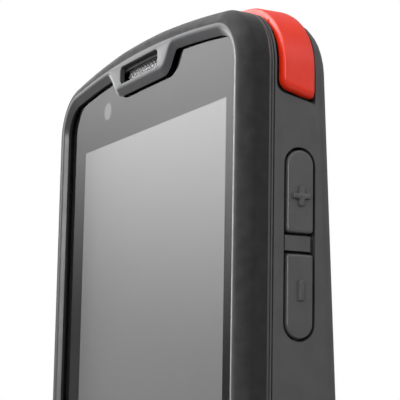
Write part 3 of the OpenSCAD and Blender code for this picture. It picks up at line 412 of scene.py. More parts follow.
# The upper half of the ring meets the slot's upper edge. The lower half goes down one end of
# the slot, along its lower edge and up the other end, as the tab's edge does beside it
slot_path = eased_path([(SLOT_HALF_W, SLOT_Z), (SLOT_HALF_W, SLOT_Z + SLOT_H / 2),
                        (-SLOT_HALF_W, SLOT_Z + SLOT_H / 2), (-SLOT_HALF_W, SLOT_Z - SLOT_H / 2),
                        (SLOT_HALF_W, SLOT_Z - SLOT_H / 2), (SLOT_HALF_W, SLOT_Z)],
                       [SLOT_EASE] * 4, SLOT_POINTS)[:-1]
slot_normals = inward_normals(slot_path)
end_share = SLOT_H / (4 * SLOT_H + 8 * SLOT_HALF_W)
flank = np.hypot(TAB_FLARE_X - TAB_HALF_W, flare_z - TAB_LOW_Z) + TAB_EDGE_X - TAB_FLARE_X
flank_share = flank / (2 * flank + 2 * TAB_HALF_W)
upper_shares = np.linspace(end_share, 0.5 - end_share, TAB_STATIONS + 2)
lower_shares = np.interp(np.linspace(0, 1, TAB_STATIONS + 2), [0, flank_share, 1 - flank_share, 1],
                         [0.5 - end_share, 0.5 + end_share, 1 - end_share, 1 + end_share])
slot_shares = np.concatenate([upper_shares, lower_shares])


def around_slot(outside):
    """The ring's stations on the slot's outline, moved outside millimetres away from it."""
    path = slot_path - outside * slot_normals
    shares = np.linspace(0, 1, len(path), endpoint=False)
    return np.stack([np.interp(slot_shares, shares, path[:, k], period=1) for k in (0, 1)], axis=1)


rim_ring = np.concatenate([closing_ring(frame_grid[section_n - 1]), closing_ring(frame_grid[0])[::-1]])
# Above the tab the bead runs on, so there the elastomer ends on the continued crown
crown_x = closing_ring(frame_grid[section_n - 1])[:, 0]
crown_line = np.stack([crown_x, crown_z(crown_x, WINDOW_TOP + BEAD_W, WINDOW_CROWN_R + BEAD_W)], axis=1)
bead_ring = np.concatenate([place(crown_line, 0.0), closing_ring(frame_grid[0])[::-1]])
under_ring = np.concatenate([closing_ring(frame_grid[FOOT_COLUMN + 1]),
                             closing_ring(frame_grid[FOOT_COLUMN])[::-1]])
slot_section = np.concatenate([bend((SLOT_ROUND, 0.0), (0.0, 0.0), (0.0, SLOT_ROUND), 5),
                               [[0.0, SLOT_STEP_D], [0.0, LIP_D]]])
slot_rows = [place(around_slot(q), d) for q, d in slot_section]
tab_grid = np.stack([rim_ring, bead_ring] + slot_rows + [under_ring])
tab_quads = grid_quads(frame_grid.shape[0] * station_n, len(tab_grid), len(rim_ring), close_cols=True)
tab_rubber = np.arange(len(tab_quads)) < TAB_STATIONS + 1
front = new_piece("front_frame_skin",
                  np.concatenate([frame_grid.reshape(-1, 3), tab_grid.reshape(-1, 3)]),
                  np.concatenate([quads[keep], tab_quads]), "terminal", "front_frame", sharp=27,
                  marks=np.concatenate([elastomer[keep], tab_rubber]).astype(np.int32))

# %% [markdown]
# ## Keys on the right side
# Each volume key is half of a long pill: a flat face, a rounded rim and a skirt that goes
# down into the recess. One outline, set in step by step while it rises, draws all of it,
# and the last ring is closed by one flat face. The raised plus and minus are drawn the same
# way from their own outlines.

# %% Outlines of keys and signs
KEY_D, KEY_W, KEY_GAP, KEY_EASE = 9.9, 4.6, 0.45, 0.6
KEY_POINTS, SIGN_POINTS = 240, 144
SIGN_L, SIGN_W, SIGN_H, SIGN_EASE = 3.1, 0.9, 0.55, 0.24


def closed_path(corners, ease):
    """Closed outline with eased corners, starting half way along its first side."""
    corners = np.array(corners, float)
    middle = (corners[0] + corners[1]) / 2
    ring = np.concatenate([[middle], corners[1:], corners[:1], [middle]])
    return eased_path(ring, [ease] * len(corners), SIGN_POINTS + 1)[:-1]


def stadium_half(flat_z, round_z, half_w):
    """Outline (depth, z) of half a pill: flat at flat_z, a full round at round_z. The round
    is KEY_D + half_w cos a, centre_z + half_w sin a, and two parabolas ease the flat's ends."""
    way = np.sign(round_z - flat_z)
    centre_z = round_z - way * half_w
    a = np.radians(np.linspace(0, 180, 49))
    rounding = np.stack([KEY_D + half_w * np.cos(a), centre_z + way * half_w * np.sin(a)], axis=1)
    front_foot, back_foot = np.array([[KEY_D - half_w, flat_z], [KEY_D + half_w, flat_z]])
    up, across = np.array([0, way * KEY_EASE]), np.array([KEY_EASE, 0])
    front_bend = bend(front_foot + up, front_foot, front_foot + across, 7)
    back_bend = bend(back_foot - across, back_foot, back_foot + up, 7)
    ring = np.concatenate([rounding, front_bend, back_bend, rounding[:1]])
    return at_shares(ring, np.linspace(0, 1, KEY_POINTS + 1)[:-1])


def turned_inward(ring):
    """Unit normals into a closed ring, whichever way round it runs."""
    normals = inward_normals(ring)
    area = np.sum(ring[:, 0] * np.roll(ring[:, 1], -1) - np.roll(ring[:, 0], -1) * ring[:, 1])
    return normals * np.sign(area)


def raised(ring, section):
    """Points and faces of a form on the side wall: the ring set in by q at height x, for
    each (q, x) of the section, closed by a flat face at both ends."""
    normals = turned_inward(ring)
    rows = [ring + q * normals for q, _ in section]
    points = np.concatenate([np.stack([np.full(len(r), x), r[:, 0] - MID_D, r[:, 1]], axis=1)
                             for r, (_, x) in zip(rows, section)])
    n = len(ring)
    faces = grid_quads(0, len(section), n, close_cols=True).tolist()
    return points, faces + [list(range(n)), list(range((len(section) - 1) * n, len(section) * n))]


def joined(forms):
    """Several forms as one list of points and one of faces."""
    points, faces, first = [], [], 0
    for form_points, form_faces in forms:
        points.append(form_points)
        faces += [[first + int(i) for i in f] for f in form_faces]
        first += len(form_points)
    return np.concatenate(points), faces


half_l, half_w = SIGN_L / 2, SIGN_W / 2
plus_corners = [(half_w, half_w), (half_w, half_l), (-half_w, half_l), (-half_w, half_w),
                (-half_l, half_w), (-half_l, -half_w), (-half_w, -half_w), (-half_w, -half_l),
                (half_w, -half_l), (half_w, -half_w), (half_l, -half_w), (half_l, half_w)]
bar_corners = [(half_w, -half_l), (half_w, half_l), (-half_w, half_l), (-half_w, -half_l)]
print("points round a key:", KEY_POINTS, "and round a sign:", SIGN_POINTS)

# %% [markdown]
# Each section is a list of insets and heights: for a key its flange, its straight skirt and
# the rounded rim, for a sign its foot and its rounded back.

# %% Volume keys
RECESS_TOP_Z, RECESS_LOW_Z, BRIDGE_H = 125.6, 96.2, 2.3
BRIDGE_Z = (RECESS_TOP_Z + RECESS_LOW_Z) / 2
KEY_PROUD, SIGN_SHIFT = 0.3, 0.8
FLANGE_X, FLANGE_T, FLANGE_LAP = 36.2, 0.7, 0.75
cap_x, flange_top = HALF_W + KEY_PROUD, FLANGE_X + FLANGE_T
key_section = [(-FLANGE_LAP, FLANGE_X), (-FLANGE_LAP, flange_top), (0.0, flange_top), (0.0, cap_x - 0.42)]
key_section += bend((0.0, cap_x - 0.38), (0.05, cap_x - 0.02), (0.36, cap_x), 8).tolist() + [(0.4, cap_x)]
sign_foot, sign_top = cap_x - 0.03, cap_x + SIGN_H
sign_section = [(0, sign_foot)]
sign_section += bend((0.01, sign_foot + 0.05), (0.05, sign_top), (0.17, sign_top), 9).tolist()
for name, way, edge, far, corners in [
        ("volume_up_key", 1, BRIDGE_Z + BRIDGE_H / 2 + KEY_GAP, RECESS_TOP_Z - KEY_GAP, plus_corners),
        ("volume_down_key", -1, BRIDGE_Z - BRIDGE_H / 2 - KEY_GAP, RECESS_LOW_Z + KEY_GAP, bar_corners)]:
    sign = closed_path(corners, SIGN_EASE) + [KEY_D, (edge + far) / 2 - way * SIGN_SHIFT]
    cap = raised(stadium_half(edge, far, KEY_W / 2), key_section)
    new_piece(name + "_cap", *joined([cap, raised(sign, sign_section)]), name, name, sharp=38)

# %% [markdown]
# ## Corner key
# The red key wraps the upper right corner. It is one sheet over two parameters: how far
# along the outline, and how deep from front to back. The sheet stands one millimetre proud
# on the side, less round the corner, and rolls down to a skirt along all four edges. Its
# lower end is cut on a slant, and where top and side meet a soft crease runs across it.

# %% Corner key: the way round the corner
CORNER_CX = HALF_W - CORNER_R
CORNER_CZ = BODY_H - CROWN_R + np.sqrt((CROWN_R - CORNER_R) ** 2 - CORNER_CX**2)


def corner_path(run):
    """Point and outward normal on the body's outline, run millimetres up from where the
    straight side ends: the side, then the corner's arc, then the crown."""
    turn = np.arctan2(CORNER_CZ - (BODY_H - CROWN_R), CORNER_CX)
    arc_l = CORNER_R * turn
    a = np.clip(run / CORNER_R, 0, turn)
    b = turn + np.clip(run - arc_l, 0, None) / CROWN_R
    on_side, on_crown = run < 0, run > arc_l
    x = CORNER_CX + CORNER_R * np.cos(a)
    z = CORNER_CZ + CORNER_R * np.sin(a) + np.where(on_side, run, 0)
    x = np.where(on_crown, CROWN_R * np.cos(b), x)
    z = np.where(on_crown, BODY_H - CROWN_R + CROWN_R * np.sin(b), z)
    angle = np.where(on_crown, b, a)
    return x, z, np.cos(angle), np.sin(angle)


print("corner's centre at X", CORNER_CX, "and Z", round(float(CORNER_CZ), 2), "mm")

# %% [markdown]
# The height of the sheet is a sum: the proud side, a smooth dip round the corner, the
# crease, a rise towards the upper end, and what each edge takes off. A quarter ellipse
# rounds every edge, and the same curve rounds the two lower corners of the outline.

# %% Corner key: its sheet
CORNER_D0, CORNER_D1 = 6.4, 12.25
CORNER_LOW_Z, TOP_RUN = 134.45, 23.25
# The slant of the lower end: how far it is cut, by depth
SLANT_D = [CORNER_D0, 7.0, 8.35, 10.2, 12.0, CORNER_D1]
SLANT_CUT = [0.1, 0.0, -0.4, -0.9, -1.15, -1.15]
FRONT_CORNER_R, BACK_CORNER_R = 1.3, 0.6
CREASE_RUN, CREASE_RISE, CREASE_SPREAD = 7.75, 0.16, 4.0
DIP_RUN, DIP, DIP_SPREAD = 8.2, 0.6, 4.6
CORNER_PROUD, TOP_RISE, SKIRT = 1.0, 0.25, 0.55
CLIMB_RUN, CLIMB_L = 11.0, 6.0
# Width and drop of the rounding along each edge
FRONT_EDGE, BACK_EDGE, LOW_EDGE, TOP_EDGE = (0.45, 0.9), (0.5, 0.85), (1.0, 0.9), (1.6, 1.1)
# The cap follows the housing, which starts to round towards the back at this depth
BACK_ROUND_D, BACK_ROUND_R = 10.6, 4.5
MIN_HEIGHT = 0.02


def shoulder(gap, width, drop):
    """What is lost at a distance gap from an edge: drop at the edge, none past width, with a
    quarter ellipse between."""
    s = np.clip(gap / width, 0, 1)
    return drop * (1 - np.sqrt(1 - (1 - s) ** 2))


rows_u = np.concatenate([np.linspace(0, 0.09, 16), np.linspace(0.1, 0.92, 84), np.linspace(0.93, 1, 16)])
cols_v = np.concatenate([np.linspace(0, 0.16, 18), np.linspace(0.18, 0.88, 22), np.linspace(0.9, 1, 12)])
u, v = np.meshgrid(rows_u, cols_v, indexing="ij")
depth = CORNER_D0 + v * (CORNER_D1 - CORNER_D0)
low_run = CORNER_LOW_Z - CORNER_CZ + np.interp(depth, SLANT_D, SLANT_CUT)
low_run += shoulder(depth - CORNER_D0, FRONT_CORNER_R, FRONT_CORNER_R)
low_run += shoulder(CORNER_D1 - depth, BACK_CORNER_R, BACK_CORNER_R)
run = low_run + u * (TOP_RUN - low_run)
climb = np.clip((run - CLIMB_RUN) / CLIMB_L, 0, 1)
height = CORNER_PROUD - DIP * np.exp(-((run - DIP_RUN) / DIP_SPREAD) ** 2)
height += CREASE_RISE * np.clip(1 - np.abs(run - CREASE_RUN) / CREASE_SPREAD, 0, 1)
height += TOP_RISE * climb**2 * (3 - 2 * climb)
height -= BACK_ROUND_R - np.sqrt(BACK_ROUND_R**2 - np.clip(depth - BACK_ROUND_D, 0, BACK_ROUND_R) ** 2)
for gap, edge in [(depth - CORNER_D0, FRONT_EDGE), (CORNER_D1 - depth, BACK_EDGE),
                  (run - low_run, LOW_EDGE), (TOP_RUN - run, TOP_EDGE)]:
    height -= shoulder(gap, *edge)
height = np.maximum(height, MIN_HEIGHT)
print("corner key from Z", CORNER_LOW_Z, "mm, standing out up to", round(float(height.max()), 2), "mm")

# %% [markdown]
# The sheet is closed to a shell: a skirt hangs from its edge and an inner sheet closes the
# bottom. A turned plunger, a profile carried round a line, carries the key's press inwards.

# %% Corner key: shell and plunger
px, pz, nx, nz = corner_path(run)
sheet = np.stack([px + height * nx, depth - MID_D, pz + height * nz], axis=-1)
rim = np.concatenate([sheet[0, :-1], sheet[:-1, -1], sheet[-1, :0:-1], sheet[:0:-1, 0]])
base_run = np.concatenate([run[0, :-1], run[:-1, -1], run[-1, :0:-1], run[:0:-1, 0]])
bx, bz, bnx, bnz = corner_path(base_run)
skirt = np.stack([bx - SKIRT * bnx, rim[:, 1], bz - SKIRT * bnz], axis=-1)
under = np.stack([px - SKIRT * nx, depth - MID_D, pz - SKIRT * nz], axis=-1)
cap_form = (np.concatenate([sheet.reshape(-1, 3), rim, skirt, under.reshape(-1, 3)]),
            np.concatenate([grid_quads(0, *u.shape), grid_quads(u.size, 2, len(rim), close_cols=True),
                            grid_quads(u.size + 2 * len(rim), *u.shape)]).tolist())


TURN_POINTS = 48
PLUNGER_LOW, PLUNGER_TOP, PLUNGER_R = 5.3, 9.2, 1.6
COLLAR_R, COLLAR_T = 2.2, 0.6


def turned(origin, axis, profile):
    """Points and faces of a turned form: each (distance along the axis, radius) of the
    profile is carried round it, and both ends are closed."""
    axis = np.array(axis, float) / np.linalg.norm(axis)
    side = np.cross(axis, [0.0, 1.0, 0.0] if abs(axis[1]) < 0.9 else [1.0, 0.0, 0.0])
    side /= np.linalg.norm(side)
    up = np.cross(axis, side)
    a = np.linspace(0, 2 * np.pi, TURN_POINTS, endpoint=False)
    circle = np.cos(a)[:, None] * side + np.sin(a)[:, None] * up
    profile = np.array(profile, float)
    points = np.array(origin) + profile[:, 0, None, None] * axis + profile[:, 1, None, None] * circle
    faces = grid_quads(0, len(profile), TURN_POINTS, close_cols=True).tolist()
    last = (len(profile) - 1) * TURN_POINTS
    return points.reshape(-1, 3), faces + [list(range(TURN_POINTS)), list(range(last, last + TURN_POINTS))]


collar_top = PLUNGER_LOW + COLLAR_T
plunger = turned((CORNER_CX, (CORNER_D0 + CORNER_D1) / 2 - MID_D, CORNER_CZ), (1, 0, 1),
                 [(PLUNGER_LOW, COLLAR_R), (collar_top, COLLAR_R),
                  (collar_top, PLUNGER_R), (PLUNGER_TOP, PLUNGER_R)])
new_piece("corner_key_cap", *joined([cap_form, plunger]), "corner_key", "corner_key", sharp=50)

# %% [markdown]
# ## Softened solids
# Many pieces already have the right shape in the exact model and only lack the small
# radii that every moulded or stamped edge has. A merged copy with a bevel gives those.

# %% Pieces that only need soft edges
# Each solid with its body, the rounding in millimetres and the least angle it rounds
soft_pieces = {
    "rear_housing": ("terminal", 0.16, 32), "right_trigger": ("right_trigger", 0.2, 40),
    "left_trigger": ("left_trigger", 0.2, 40), "battery_cover": ("battery_pack", 0.3, 40),
    "battery_latch": ("battery_latch", 0.12, 40), "card_door": ("card_door", 0.12, 40),
    "housing_screws": ("terminal", 0.08, 50), "scan_window": ("terminal", 0.1, 40),
    "usb_socket": ("terminal", 0.05, 60), "battery_case": ("battery_pack", 0.2, 50),
}
for node_name, (body, width, angle) in soft_pieces.items():
    softened(node_name, body, width, angle)

# %% [markdown]
# ## Earpiece mesh
# Behind the slot lies a woven steel mesh. Two families of thin wires cross it, each wire a
# round bar that weaves over and under the others as a sine. They are drawn a little coarser
# than the real ones, so that they still show. A thin backing sheet lies close behind them.

# %% Earpiece mesh
MESH_D, WIRE_R, WIRE_STEP, WIRE_PAST = 1.93, 0.11, 0.62, 0.2
SWING_SHARE, WIRE_SIDES, STEPS_A_WIRE = 0.9, 8, 8
BACKING_HALF_W, BACKING_HALF_H, BACKING_EASE, BACKING_POINTS = 7.9, 1.6, 0.7, 80
BACKING_GAP, BACKING_T = 0.3, 0.06


def wire_set(along_x):
    """Points and faces of one family of wires: each is a circle of radius WIRE_R carried
    along a line whose depth swings by one wire radius as a cosine of the distance run."""
    span = WIRE_PAST + (SLOT_HALF_W if along_x else SLOT_H / 2)
    across = SLOT_H / 2 if along_x else SLOT_HALF_W
    lines = np.arange(-across + WIRE_STEP / 2, across, WIRE_STEP)
    t = np.linspace(-span, span, int(span / WIRE_STEP) * STEPS_A_WIRE + 1)
    a = np.linspace(0, 2 * np.pi, WIRE_SIDES, endpoint=False)
    phase = np.pi * (np.arange(len(lines)) + (0 if along_x else 1))
    swing = SWING_SHARE * WIRE_R * np.cos(np.pi * t[None, :] / WIRE_STEP + phase[:, None])
    line, step, angle = np.meshgrid(lines, t, a, indexing="ij")
    depth = MESH_D + swing[:, :, None] + WIRE_R * np.sin(angle)
    offset = line + WIRE_R * np.cos(angle)
    x, z = (step, offset) if along_x else (offset, step)
    points = np.stack([x, depth - MID_D, z + SLOT_Z], axis=-1)
    per_wire = len(t) * len(a)
    quads = np.concatenate([grid_quads(i * per_wire, len(t), len(a), close_cols=True)
                            for i in range(len(lines))])
    return points.reshape(-1, 3), quads.tolist()


low_z, top_z = SLOT_Z - BACKING_HALF_H, SLOT_Z + BACKING_HALF_H
backing = eased_path([(0, low_z), (BACKING_HALF_W, low_z), (BACKING_HALF_W, top_z),
                      (-BACKING_HALF_W, top_z), (-BACKING_HALF_W, low_z), (0, low_z)],
                     [BACKING_EASE] * 4, BACKING_POINTS + 1)[:-1]
backing_d = MESH_D + BACKING_GAP
backing_points = np.concatenate([place(backing, backing_d), place(backing, backing_d + BACKING_T)])
backing_faces = grid_quads(0, 2, BACKING_POINTS, close_cols=True).tolist()
backing_faces += [list(range(BACKING_POINTS)), list(range(BACKING_POINTS, 2 * BACKING_POINTS))]
new_piece("earpiece_mesh", *joined([wire_set(True), wire_set(False), (backing_points, backing_faces)]),
          "terminal", "earpiece_grille", sharp=60)

# %% [markdown]
# ## Materials
# Every finish starts from a real material. A small function adds a shader node with its
# settings and links, and another turns a colour written as sRGB hex into the linear values
# that the shader works with. Texture coordinates are the object's own, in metres, so a
# pattern's scale is one over the size of its grain.

# %% Material helpers
PLASTIC_IOR, GLASS_IOR = 1.5, 1.52


def linear(hex_colour):
    """Linear RGBA of an sRGB hex colour: c / 12.92 near black, ((c + 0.055) / 1.055)^2.4 above."""
    c = np.array([int(hex_colour[i:i + 2], 16) / 255 for i in (1, 3, 5)])
    return [*np.where(c <= 0.04045, c / 12.92, ((c + 0.055) / 1.055) ** 2.4), 1.0]


def node(tree, kind, inputs=None, **settings):
    """Adds one shader node, sets its properties, and links or sets its inputs."""
    made = tree.nodes.new("ShaderNode" + kind)
    for key, value in settings.items():
        setattr(made, key, value)
    for key, value in (inputs or {}).items():
        if isinstance(value, bpy.types.NodeSocket):
            tree.links.new(value, made.inputs[key])
        else:
            made.inputs[key].default_value = value
    return made


def noise(tree, coords, size_mm, detail):
    """Value of a noise whose grains are size_mm across, on coordinates in metres."""
    settings = {"Vector": coords, "Scale": 1000.0 / size_mm, "Detail": detail}
    return node(tree, "TexNoise", settings).outputs["Fac"]


def new_material(name):
    """Empty node material with its node tree and its object coordinates."""
    material = bpy.data.materials.new(name)
    material.use_nodes = True
    tree = material.node_tree
    tree.nodes.clear()
    return material, tree, node(tree, "TexCoord").outputs["Object"]


def mottled(tree, coords, colour, other, size_mm):
    """Colour socket that drifts between two colours over blotches of size_mm."""
    ramp = node(tree, "ValToRGB", {"Fac": noise(tree, coords, size_mm, 3.0)})
    first, last = ramp.color_ramp.elements
    first.position, last.position = 0.35, 0.65
    first.color, last.color = linear(colour), linear(other)
    return ramp.outputs["Color"]


def grained(tree, coords, grain_mm, depth_mm):
    """Normal socket of a fine moulded grain: noise whose bumps are depth_mm high."""
    return node(tree, "Bump", {"Height": noise(tree, coords, grain_mm, 2.0), "Strength": 1.0,
                               "Distance": depth_mm * MM}).outputs["Normal"]


def moulded(name, colour, other, roughness, blotch_mm, grain_mm, grain_depth_mm, sheen=0.0):
    """A moulded plastic or rubber: drifting colour, uneven gloss and a fine grain."""
    material, tree, coords = new_material(name)
    gloss = noise(tree, coords, blotch_mm * 0.7, 2.0)
    rough = node(tree, "MapRange", {"Value": gloss, "From Min": 0.3, "From Max": 0.7,
                                    "To Min": roughness * 0.92, "To Max": roughness * 1.08})
    shader = node(tree, "BsdfPrincipled", {
        "Base Color": mottled(tree, coords, colour, other, blotch_mm),
        "Roughness": rough.outputs["Result"], "IOR": PLASTIC_IOR, "Sheen Weight": sheen,
        "Sheen Roughness": 0.4, "Normal": grained(tree, coords, grain_mm, grain_depth_mm)})
    node(tree, "OutputMaterial", {"Surface": shader.outputs["BSDF"]})
    return material


def metal(name, colour, other, roughness, streak_mm, grain_depth_mm=0.004, stretch=(1, 1, 1)):
    """A metal with fine streaks or grit: colour and roughness vary along stretched noise."""
    material, tree, coords = new_material(name)
    pulled = node(tree, "Mapping", {"Vector": coords, "Scale": stretch}).outputs["Vector"]
    gloss = noise(tree, pulled, streak_mm, 3.0)
    rough = node(tree, "MapRange", {"Value": gloss, "To Min": roughness * 0.7,
                                    "To Max": roughness * 1.3})
    shader = node(tree, "BsdfPrincipled", {
        "Base Color": mottled(tree, pulled, colour, other, streak_mm * 3), "Metallic": 1.0,
        "Roughness": rough.outputs["Result"], "Normal": grained(tree, pulled, streak_mm, grain_depth_mm)})
    node(tree, "OutputMaterial", {"Surface": shader.outputs["BSDF"]})
    return material


print("mid grey as a linear value:", round(float(linear("#808080")[0]), 3))

# %% [markdown]
# ## Finishes of this terminal
# The skins are ABS and polycarbonate blends with a spark-eroded grain, the front frame is
# overmoulded with a darker soft-touch elastomer, and the corner key is a satin coloured
# polycarbonate. Inside are the usual metals, boards and foils. Each plastic has two close
# colours, a roughness, and then the sizes in millimetres of its blotches and of its grain,
# and the height of that grain.

# %% Plastics, rubbers and metals
finishes = {
    # soft-touch elastomer: dark, with a broad dull sheen
    "front_shell": moulded("soft_touch_elastomer", "#0e0e0f", "#121213", 0.8, 2.6, 0.42, 0.012, sheen=0.15),
    # spark-eroded polycarbonate blend: dark grey, even and matte
    "housing_plastic": moulded("grained_polycarbonate", "#414142", "#464647", 0.46, 3.5, 0.3, 0.006),
    # tumbled keys and textured triggers: smoother than the housing, so that edges glint
    "key_plastic": moulded("satin_key_plastic", "#464647", "#4a4a4b", 0.3, 3.0, 0.25, 0.003),
    "trigger_plastic": moulded("satin_trigger_plastic", "#343435", "#3a3a3b", 0.4, 3.0, 0.3, 0.004),
    # coloured polycarbonate, satin: a clear soft highlight along its edges
    "corner_key_red": moulded("red_polycarbonate", "#d72506", "#dd2a09", 0.4, 4.0, 0.5, 0.002),
    # seals of silicone rubber: nearly black and dull
    "black_rubber": moulded("black_silicone_rubber", "#141415", "#19191a", 0.55, 2.0, 0.3, 0.006),
    "dark_plastic": moulded("dark_moulded_plastic", "#242426", "#2a2a2c", 0.42, 3.0, 0.3, 0.006),
    # solder mask is a thin lacquer and polyimide a clear amber film: both fairly glossy
    "circuit_board": moulded("solder_mask", "#1c4a31", "#22553a", 0.3, 1.6, 0.5, 0.01),
    "flex_foil": moulded("polyimide_film", "#a8662a", "#b57435", 0.3, 4.0, 0.6, 0.003),
    # frosted lens, and two dark windows so smooth that they mirror the room
    "flash_plastic": moulded("frosted_flash_lens", "#dcd8cc", "#e4e0d4", 0.25, 2.0, 0.4, 0.01),
    "scan_glass": moulded("filter_red_acrylic", "#2a0a0e", "#310c11", 0.06, 6.0, 1.0, 0.0005),
    "camera_glass": moulded("dark_camera_window", "#0c0d10", "#101216", 0.04, 6.0, 1.0, 0.0003),
    # woven stainless wire as drawn: pale, with soft glints along the wires
    "woven_mesh": metal("stainless_mesh", "#c2c2c3", "#d0d0d1", 0.5, 0.5),
    # cast magnesium is grainy and grey, tinned sheet brighter with streaks from rolling
    "magnesium": metal("cast_magnesium", "#8e9092", "#9b9d9f", 0.5, 0.8, 0.02),
    "tinned_steel": metal("tinned_sheet_steel", "#aeb0b2", "#bcbec0", 0.35, 0.6, stretch=(1, 1, 6)),
    # plated contacts gleam, blackened screws only shine at their edges, turned brass has rings
    "gold_plate": metal("gold_plated_contact", "#c8a048", "#d4ae5a", 0.28, 0.4),
    "steel_screws": metal("blackened_steel", "#3c3d3f", "#4a4b4d", 0.38, 0.5),
    "brass_inserts": metal("turned_brass", "#a98846", "#b99a58", 0.32, 0.3, stretch=(1, 5, 1)),
    # laminated foil of the cell: satin aluminium with wide soft creases
    "cell_foil": metal("laminated_cell_foil", "#8d949a", "#9aa1a6", 0.36, 2.5, 0.03),
}
print("finishes:", len(finishes))

# %% [markdown]
# ## Glass and display
# The cover glass is clear: by Fresnel's law it mirrors more the flatter one looks at it, and
# the rest passes. Its back carries the black print of the border. The display is bonded to
# the print's window, so the panel's pale grey starts right behind the glass.
# The print is drawn on the back of the glass with a mask worked out from the object's
# coordinates: inside the lit rectangle, inside the camera's round opening, or on the border.

# %% Cover glass and what lies behind it
LIT_HALF_W, LIT_TOP_Z, LIT_LOW_Z = 29.25, 134.4, 30.4
CAM_X, CAM_Z, CAM_R = -18.7, 140.9, 1.65
SMEAR_MM = 14.0
PRINT_D = GLASS_D + GLASS_T


def inside_band(tree, value, low, high):
    """1 where a coordinate lies between low and high millimetres, else 0."""
    above = node(tree, "Math", {0: value, 1: low * MM}, operation="GREATER_THAN").outputs[0]
    below = node(tree, "Math", {0: value, 1: high * MM}, operation="LESS_THAN").outputs[0]
    return node(tree, "Math", {0: above, 1: below}, operation="MULTIPLY").outputs[0]


glass, tree, coords = new_material("clear_cover_glass")
smear = noise(tree, coords, SMEAR_MM, 2.0)
polish = node(tree, "MapRange", {"Value": smear, "To Min": 0.03, "To Max": 0.06})
mirrored = node(tree, "BsdfGlossy", {"Roughness": polish.outputs["Result"]})
clear = node(tree, "BsdfTransparent", {"Color": linear("#f9f9f9")})
mirror_share = node(tree, "Fresnel", {"IOR": GLASS_IOR}).outputs[0]
# Seen from inside, the glass doesn't mirror, so that light and view reach the print
from_inside = node(tree, "NewGeometry").outputs["Backfacing"]
outside = node(tree, "Math", {0: mirror_share, 1: from_inside}, operation="SUBTRACT", use_clamp=True)
shader = node(tree, "MixShader", {0: outside.outputs[0], 1: clear.outputs[0], 2: mirrored.outputs[0]})
node(tree, "OutputMaterial", {"Surface": shader.outputs[0]})
finishes["cover_glass"] = glass

printed_back, tree, coords = new_material("print_behind_the_glass")
split = node(tree, "SeparateXYZ", {"Vector": coords})
x_band = inside_band(tree, split.outputs["X"], -LIT_HALF_W, LIT_HALF_W)
z_band = inside_band(tree, split.outputs["Z"], LIT_LOW_Z, LIT_TOP_Z)
lit = node(tree, "Math", {0: x_band, 1: z_band}, operation="MULTIPLY").outputs[0]
away = node(tree, "VectorMath", {0: coords, 1: (CAM_X * MM, (PRINT_D - MID_D) * MM, CAM_Z * MM)},
            operation="DISTANCE").outputs["Value"]
camera_hole = node(tree, "Math", {0: away, 1: CAM_R * MM}, operation="LESS_THAN").outputs[0]
panel = mottled(tree, coords, "#484848", "#4a4a4a", 6.0)
border = node(tree, "Mix", {0: lit, 6: linear("#060607"), 7: panel}, data_type="RGBA").outputs[2]
face = node(tree, "Mix", {0: camera_hole, 6: border, 7: linear("#686868")}, data_type="RGBA").outputs[2]
shader = node(tree, "BsdfPrincipled", {"Base Color": face, "Roughness": 0.45, "IOR": PLASTIC_IOR,
                                       "Specular IOR Level": lit})
node(tree, "OutputMaterial", {"Surface": shader.outputs["BSDF"]})

panel_film, tree, coords = new_material("display_polariser_film")
shader = node(tree, "BsdfPrincipled", {"Base Color": mottled(tree, coords, "#8e8f90", "#949596", 8.0),
                                       "Roughness": 0.3, "IOR": PLASTIC_IOR,
                                       "Normal": grained(tree, coords, 0.3, 0.002)})
node(tree, "OutputMaterial", {"Surface": shader.outputs["BSDF"]})
finishes["display"] = panel_film
print("made:", ", ".join(m.name for m in (glass, printed_back, panel_film)))

# %% [markdown]
# ## Every piece gets its finish
# The record names a material slot for each solid. A piece that stands for a solid takes the
# same slot, so one table dresses both.

# %% Assign finishes
BOND_GAP = 0.03
slot_of = {part["node"]: part["material_slot"] for part in frame["record"]["subparts"]}


def dress(piece, slot_name):
    piece.data.materials.clear()
    piece.data.materials.append(finishes[slot_name])


for piece in [o for o in bpy.context.scene.objects if o.type == "MESH"]:
    stands_for = list(piece.get("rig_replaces", [])) or [piece.name]
    dress(piece, slot_of[stands_for[0]])

# The frame's lip, tab and rear strip are bare plastic
front.data.materials.append(moulded("smooth_bezel_plastic", "#3f3f41", "#434345", 0.32, 3.5, 0.3, 0.002))
region = np.empty(len(front.data.polygons), np.int32)
front.data.attributes["region"].data.foreach_get("value", region)
front.data.polygons.foreach_set("material_index", 1 - region)
# The glass is clear in front, and its back and edges carry the print
plate = frame["nodes"]["cover_glass"].data
plate.materials.append(printed_back)
facing = np.empty(len(plate.polygons) * 3)
plate.polygons.foreach_get("normal", facing)
faces_front = facing.reshape(-1, 3)[:, 1] < -0.9
plate.polygons.foreach_set("material_index", (~faces_front).astype(np.int32))
# The glass draws in by a hair, so that its print and the display's front don't coincide
hair = frame["nodes"]["cover_glass"].modifiers.new("bond_line", "DISPLACE")
hair.mid_level, hair.strength = 0.0, -BOND_GAP * MM

# %% [markdown]
# ## Camera
# The view comes from close by and far round to the right, and looks up a little at the
# terminal's upper end. The lens is long, so the perspective stays calm.

